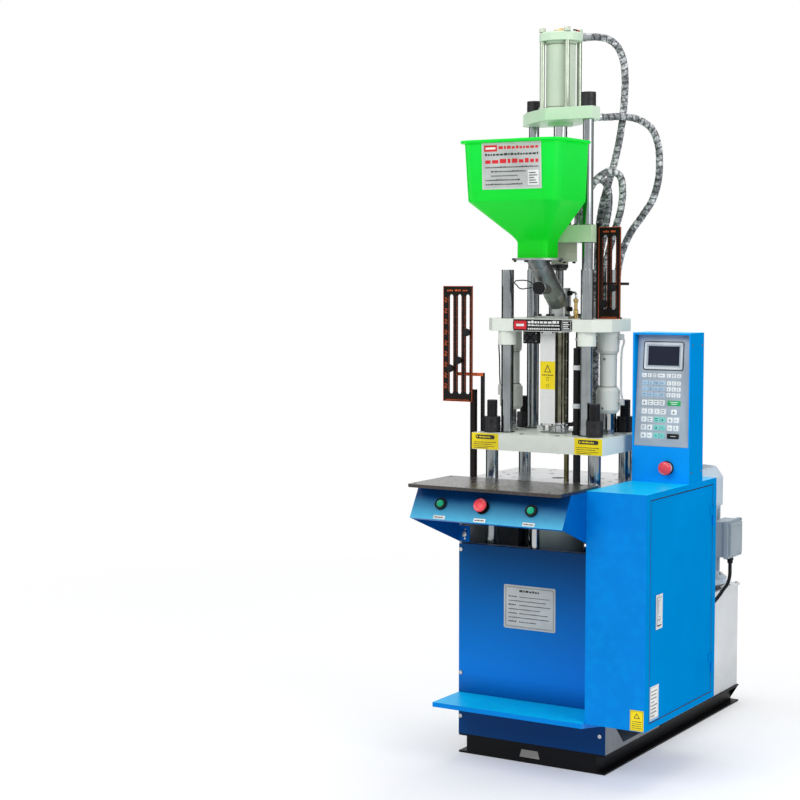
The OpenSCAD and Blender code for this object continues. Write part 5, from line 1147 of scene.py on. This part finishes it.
# black discs paint the shade in the holes round each nut's side
for m in bars:
    p.cyl(3.6, -0.6, 0.5, "dark", wheel(4, 25, 22, m[0][3], m[1][3], 1014), 16, 0)
p.ring(25.6, 24, 1019.5, 1021.4, "black", bars, 48, 0.3)
p.done()
p = Piece("platen_trim", "moving_platen", "nut_black")
p.ring(23, 19, 0, 2.2, "rubber", corners(*COLUMNS, PLATEN_TOP), 48, 0.4)
p.cap(6.5, 1.0, "bolt", grid((-60, 60), -126, PLATEN_TOP) + grid((-200, 200), (-20, 40), PLATEN_TOP))
p.ring(21, 16.8, 0, 3, "zinc", grid(SEATS, 0, PLATEN_TOP), 40, 0.5)
p.lathe([(16.8, 3), (19.6, 3), (19.6, 14), (18.4, 15.2), (16.8, 15.2)], "zinc", grid(SEATS, 0, PLATEN_TOP), 6)
p.done()


# ---------------------------------------------------------------- body, table, console, cabinet and control box
def louvres(p, xs, y, zs, length, d, gap, mat):
    """Rows of louvres d high, each over a black strip that paints the shade in its slot, on a sheet that faces the
    back.
    """
    places = [shift(x, y, z) for x in xs for z in zs]
    p.prism([(0, 0), (d - 2, -d), (d - 2, -d - 1.2), (0, -d - 1.2)], length, mat, 0.3, [m @ SIDEWAYS for m in places])
    p.box((4, -0.4, -d - gap), (length - 4, 0.3, -d - 1.4), "dark", 0, places)


p = Piece("body_trim", "frame", "panel_blue")
# black discs under the screw heads of the table and the platen bed paint the shade in their counterbores
table_screws = each(((-232, -455), (-232, -250), (0, -250), (200, -250), (200, -455), (-60, -455)), TABLE_TOP)
p.cyl(5.4, -0.6, 0.25, "dark", table_screws, 20, 0)
p.cap(4.4, 0.5, "bolt", table_screws)
platen_screws = grid((-228, 228), (-178, 198), BED_TOP)
p.cyl(8.6, -0.5, 0.2, "dark", platen_screws, 24, 0)
p.cap(7.2, 0.4, "bolt", platen_screws)
louvres(p, (-150, 20), BODY_BACK, range(420, 600, 20), 130, 9, 4.5, "panel")
p.hexbolt(5, 4, "zinc", grid((-226, 226), BODY_BACK, (90, 340, 590, 770), BACK))
p.hexbolt(5, 4, "zinc", grid(-247.5, (-150, 180), (110, 340, 570), LEFT))
p.done()

p = Piece("cabinet_trim", "frame", "cabinet_blue")
louvres(p, (280,), CABINET_BACK, range(560, 704, 18), 96, 8, 4.2, "cabinet")
p.ring(17, 12.2, 0, 3, "zinc", front(335, CABINET_BACK, 410, -pi), 6)
p.box((247.6, -10.4, 848), (427.4, 91.4, 849.4), "rubber", 0.3)
# black strips in the gap round the door: a seal, and painted shade of the gap
for y0, y1, z0, z1 in ((-288.2, -285.4, 200.8, 831.2), (166.4, 169.0, 200.8, 831.2), (-288.2, 169, 200.8, 203.6),
                       (-288.2, 169, 828.4, 831.2)):
    p.box((429.6, y0, z0), (431.12, y1, z1), "rubber", 0.2)
p.cyl(3.4, -0.3, 1.2, "zinc", grid(428, (6, 76), (880, 1250), RIGHT), 18)
# rear vents of the control box: flat black strips that paint the shade in their slots
p.box((300, 91.6, 0), (376, 92.25, 4), "dark", 0.2, [shift(0, 0, z) for z in range(1090, 1188, 14)])
p.done()

# screws beside the flush handle, and a turned-in bead round the door
p = Piece("door_trim", "door", "door_blue")
p.cyl(1.9, -0.2, 0.9, "zinc", grid(434, -229, (468, 556), RIGHT), 14)
for y0, z0, y1, z1 in border(-279.7, 209.3, 160.7, 822.7, 1.4):
    p.box((430.9, y0, z0), (431.5, y1, z1), "door", 0.2)
p.done()
p = Piece("handle_lock", "door_handle", "handle_chrome")
lock = at(435, -229, 490, RIGHT)
p.ring(8, 5.6, 0, 1.6, "handle", lock, 32)
p.cyl(5.6, 0, 1.0, "zinc", lock, 28)
# a black slot paints the shade in the keyhole
p.box((435.8, -230.1, 486.4), (436.4, -227.9, 493.6), "dark", 0.2)
p.box((435, -236, 505), (436.2, -222, 544), "handle", 0.6)
p.done()

# ---------------------------------------------------------------- tank, motor and valves
p = Piece("tank_trim", "frame", "tank_grey")
p.hexbolt(4.6, 4, "zinc", grid((-236, -120, 0, 120, 236), (244, 881), TANK_LID))
p.hexbolt(4.6, 4, "zinc", grid((-236, 236), (340, 440, 540, 640, 740, 820), TANK_LID))
p.box((-255.2, 548, 158), (-254.3, 567, 280), "screen", 0.3)
p.box((-255.6, 552, 162), (-255.0, 563, 226), "yellow", 0.2)
p.hexbolt(5.4, 4, "zinc", grid(TANK_LEFT, 557.5, (149, 289), LEFT))
p.lathe([(40.2, 452), (41.4, 454), (41.4, 469), (40.2, 471)], "rubber", at(-120, 620), 72,
        lambda a, h: 1.0 + 0.012 * cos(24 * a))
p.box((-60, 885, 150), (60, 886.4, 250), "tank", 0.5)
p.hexbolt(4, 2.6, "zinc", grid((-52, 52), 886.4, (158, 242), BACK))
p.cyl(11, 885, 889.6, "zinc", front(150, 0, 84, -pi), 6)
p.done()

p = Piece("pump_trim", "frame", "motor_cast")
p.hexbolt(9, 8, "zinc", wheel(4, 112, 45, *MOTOR, 448, UP))
p.cyl(4, -0.5, 1.6, "zinc", wheel(4, 108, 45, *MOTOR, 710), 14)
p.lathe([(0, 0), (16, 0), (18, -0.8), (18, 1.4), (16, 2.4), (0, 2.8)], "cowl", at(*MOTOR, COWL_TOP), 36)
# black slots paint the shade in the fan cowl's vents
for k, (x, y, _) in enumerate(around(56, 16)):
    p.box((-22, -1.7, 0), (22, 1.7, 0.9), "dark", 0.3, at(MOTOR[0] + x, MOTOR[1] + y, COWL_TOP - 0.4, turn=22.5 * k))
p.ring(88, 84, 0, 1.2, "cowl", at(*MOTOR, COWL_TOP), 72, 0.4)
p.box((60, 622, 560), (104, 625.5, 610), "tbox", 0.6)
p.on(shift(295.3, 720, 531) @ SIDEWAYS)
p.rim(-46, 8, 46, 98, 4, 3.0, 1.0, "tbox")
p.cyl(2.6, 0, 1.6, "zinc", grid(289.9, (663, 777), (529, 644), RIGHT), 14)
p.done()

p = Piece("valve_trim", "frame", "block_steel")
VALVES = (-45, -1, 43)
p.cyl(6, 0, 5, "zinc", grid(VALVES, 327, 517, FRONT) + grid(VALVES, 423, 517, BACK), 20)
for x in VALVES:
    p.box((x - 11, 358, 534), (x + 11, 392, 537), "grey", 0.6)
    p.cap(3, 3, "bolt", grid((x - 9, x + 9), 352, 534), "bolt")
p.cap(5.4, 5, "bolt", grid((-68, -22, 24, 70), 320, (424, 486), FRONT), "bolt")
p.done()

# ---------------------------------------------------------------- inside the cabinet
p = Piece("switchgear_trim", "switchgear", "switch_plastic")
X0, Y0, Y1 = 251, -262, 142  # the mounting plate's face and ends
inside = shift(X0, 0, 0)


def gear(x0, x1, y0, y1, z0, z1, mat, b):
    p.box((x0, y0, z0), (x1, y1, z1), mat, b, inside)


for z in (676, 530):
    gear(0, 4, Y0, Y1, z, z + 26, "zinc", 0.5)
# wiring ducts
for z in (598, 742, 440):
    gear(0, 56, Y0, Y1, z, z + 30, "pale", 1.2)
    for y in range(Y0 + 6, Y0 + 409, 13):
        gear(8, 44, y, y + 4, z - 0.4, z + 30.4, "rubber", 0)
    gear(56, 58, Y0 + 1, Y1 - 1, z + 1, z + 29, "pale", 0.6)
# breakers, contactors, transformer and the control board
for y in range(-250, 61, 62):
    gear(77, 80, y + 3, y + 47, 660, 705, "pale", 0.8)
    gear(80, 88, y + 17, y + 33, 676, 690, "red" if y == -250 else "rubber", 1.5)
    p.cyl(4.4, 0, 1.2, "zinc", grid(X0 + 77, range(y + 9, y + 42, 16), (651, 716), RIGHT), 16)
for y in range(-250, 39, 96):
    gear(89, 97, y + 8, y + 67, 512, 556, "grey", 1.2)
    gear(97, 99, y + 28, y + 47, 524, 544, "switch", 0.8)
    p.cyl(5, 0, 1.4, "brass", grid(X0 + 89, tuple(y + 10 + 18.3 * j for j in range(4)), (500, 570), RIGHT), 16)
for k in range(9):
    gear(107, 108.6, -217 + 15.2 * k, -209 + 15.2 * k, 254, 366, "bolt", 0.3)
gear(20, 90, -210, -90, 370, 380, "pale", 1.2)
p.cyl(4, 0, 2, "brass", grid(X0 + 76, range(-201, -98, 17), 380), 14)
gear(57, 60, -12, 112, 262, 388, "grey", 1.0)
for z in (268, 372):
    gear(60, 66, -6, 106, z, z + 11, "green", 0.8)
    p.cyl(2.4, 0, 0.7, "zinc", grid(X0 + 66, tuple(9.1 * k for k in range(12)), z + 5.5, RIGHT), 12)
for k in range(6):
    p.cyl(2.2, 0, 1.0, "green" if k % 3 else "red", at(X0 + 60, 10 + 10 * k, 350, RIGHT), 12)
p.hexbolt(5, 4, "zinc", grid(X0, (Y0, Y1), (240, 520, 790), RIGHT))
p.done()

p = Piece("door_inside", "door", "door_blue")
x = DOOR_IN
turned = Matrix(((0, 1, 0, 0), (1, 0, 0, 0), (0, 0, 1, 0), (0, 0, 0, 1)))
p.prism([(-16, 0), (-12, -9), (12, -9), (16, 0), (14.4, 0), (11.2, -7.6), (-11.2, -7.6), (-14.4, 0)], 540, "door",
        0.2, [shift(x, y, 246) @ turned for y in (-176, 96)])
# pocket for papers
p.box((x - 12, -130, 300), (x, 50, 302), "door", 0.4)
p.box((x - 13.4, -130, 300), (x - 12, 50, 430), "door", 0.4)
for y in (-130, 48.6):
    p.box((x - 12.4, y, 300), (x, y + 1.4, 430), "door", 0.3)
p.box((x - 8, -120, 304), (x - 2, 38, 470), "white", 0.4)
# dish behind the flush handle
p.box((x - 5, -247, 468), (x - 3.6, -211, 554), "zinc", 0.4)
for y0, z0, y1, z1 in border(-247, 468, -211, 554, 1.6):
    p.box((x - 4, y0, z0), (x, y1, z1), "zinc", 0.3)
p.done()


# ---------------------------------------------------------------- floor, world and lights
def backdrop(name, points, mat):
    """A plain quad of the studio."""
    me = bpy.data.meshes.new(name)
    me.from_pydata(points, [], [[0, 1, 2, 3]])
    me.materials.append(mat)
    ob = bpy.data.objects.new(name, me)
    scene.collection.objects.link(ob)
    return ob


g = Graph("studio", "World")
lights = g.node("ShaderNodeBackground", Color=(0.96, 0.98, 1, 1), Strength=0.5)
shows = g.node("ShaderNodeBackground", Color=(1, 1, 1, 1), Strength=1.0)
scene.world = g.finish(g.node("ShaderNodeMixShader", i0=g.seen(), i1=lights, i2=shows))

# the floor takes soft shadows near the machine and fades to the white backdrop
g = Graph("floor_pale")
place = g.node("ShaderNodeNewGeometry").outputs["Position"]
far = g.span(g.node("ShaderNodeVectorMath", operation="LENGTH", i0=place).outputs["Value"], 1.2, 4.0)
lit = g.node("ShaderNodeBsdfDiffuse", Color=g.mix(g.noise(2.0, 3.0), (0.83, 0.83, 0.83, 1), (0.86, 0.86, 0.86, 1)))
glow = g.node("ShaderNodeEmission", Color=(1, 1, 1, 1), Strength=0.16)
plain = g.node("ShaderNodeEmission", Color=(1, 1, 1, 1), Strength=1.0)
edge = g.node("ShaderNodeMixShader", i0=far, i1=g.node("ShaderNodeAddShader", i0=lit, i1=glow), i2=plain)
floor_mat = g.finish(g.node("ShaderNodeMixShader", i0=g.seen(), i1=lit, i2=edge))
backdrop("floor", [(x, y, -0.0004) for x, y in ((-30, -30), (30, -30), (30, 30), (-30, 30))], floor_mat)

for name, place, target, size, watts in (
    ("key", (-1.2, -5.6, 4.4), (0, 0, 1.1), (3.4, 2.6), 150),
    ("side", (5.2, -1.8, 3.2), (0, 0, 1.1), (3.0, 3.0), 120),
    ("left", (-5.0, -0.6, 2.6), (0, 0, 1.1), (2.6, 3.0), 45),
    ("top", (0.3, 0.4, 5.4), (0, 0, 1.0), (3.4, 3.4), 60),
    ("back", (0.6, 5.4, 3.4), (0, 0.3, 1.0), (3.0, 2.6), 80),
):
    lamp = bpy.data.lights.new(name, "AREA")
    lamp.shape, lamp.size, lamp.size_y, lamp.energy = "RECTANGLE", *size, watts
    ob = bpy.data.objects.new(name, lamp)
    scene.collection.objects.link(ob)
    ob.location = place
    ob.rotation_euler = (Vector(target) - ob.location).to_track_quat("-Z", "Y").to_euler()
    ob.visible_camera = False

# two black flags beside the white backdrop, seen by polished metal alone
g = Graph("flag_black")
flag_mat = g.done(Base_Color=g.mix(g.noise(3.0), lin((24, 24, 26)), lin((34, 34, 36))), Roughness=0.9,
                  Specular_IOR_Level=0.0)
for k, azimuth in enumerate((66, 168)):
    out = Vector((cos(rad(azimuth)), sin(rad(azimuth)), 0))
    across = Vector((-out.y, out.x, 0)) * 1.9
    foot = out * 3.6 + Vector((0, 0.3, 0))
    flag = backdrop(f"flag_{k}", [foot + across * side + Vector((0, 0, h))
                                  for side, h in ((-1, 0.1), (1, 0.1), (1, 4.2), (-1, 4.2))], flag_mat)
    for ray in ("camera", "diffuse", "transmission", "volume_scatter", "shadow"):
        setattr(flag, "visible_" + ray, False)

scene.view_settings.view_transform = "Standard"

bpy.context.view_layer.update()
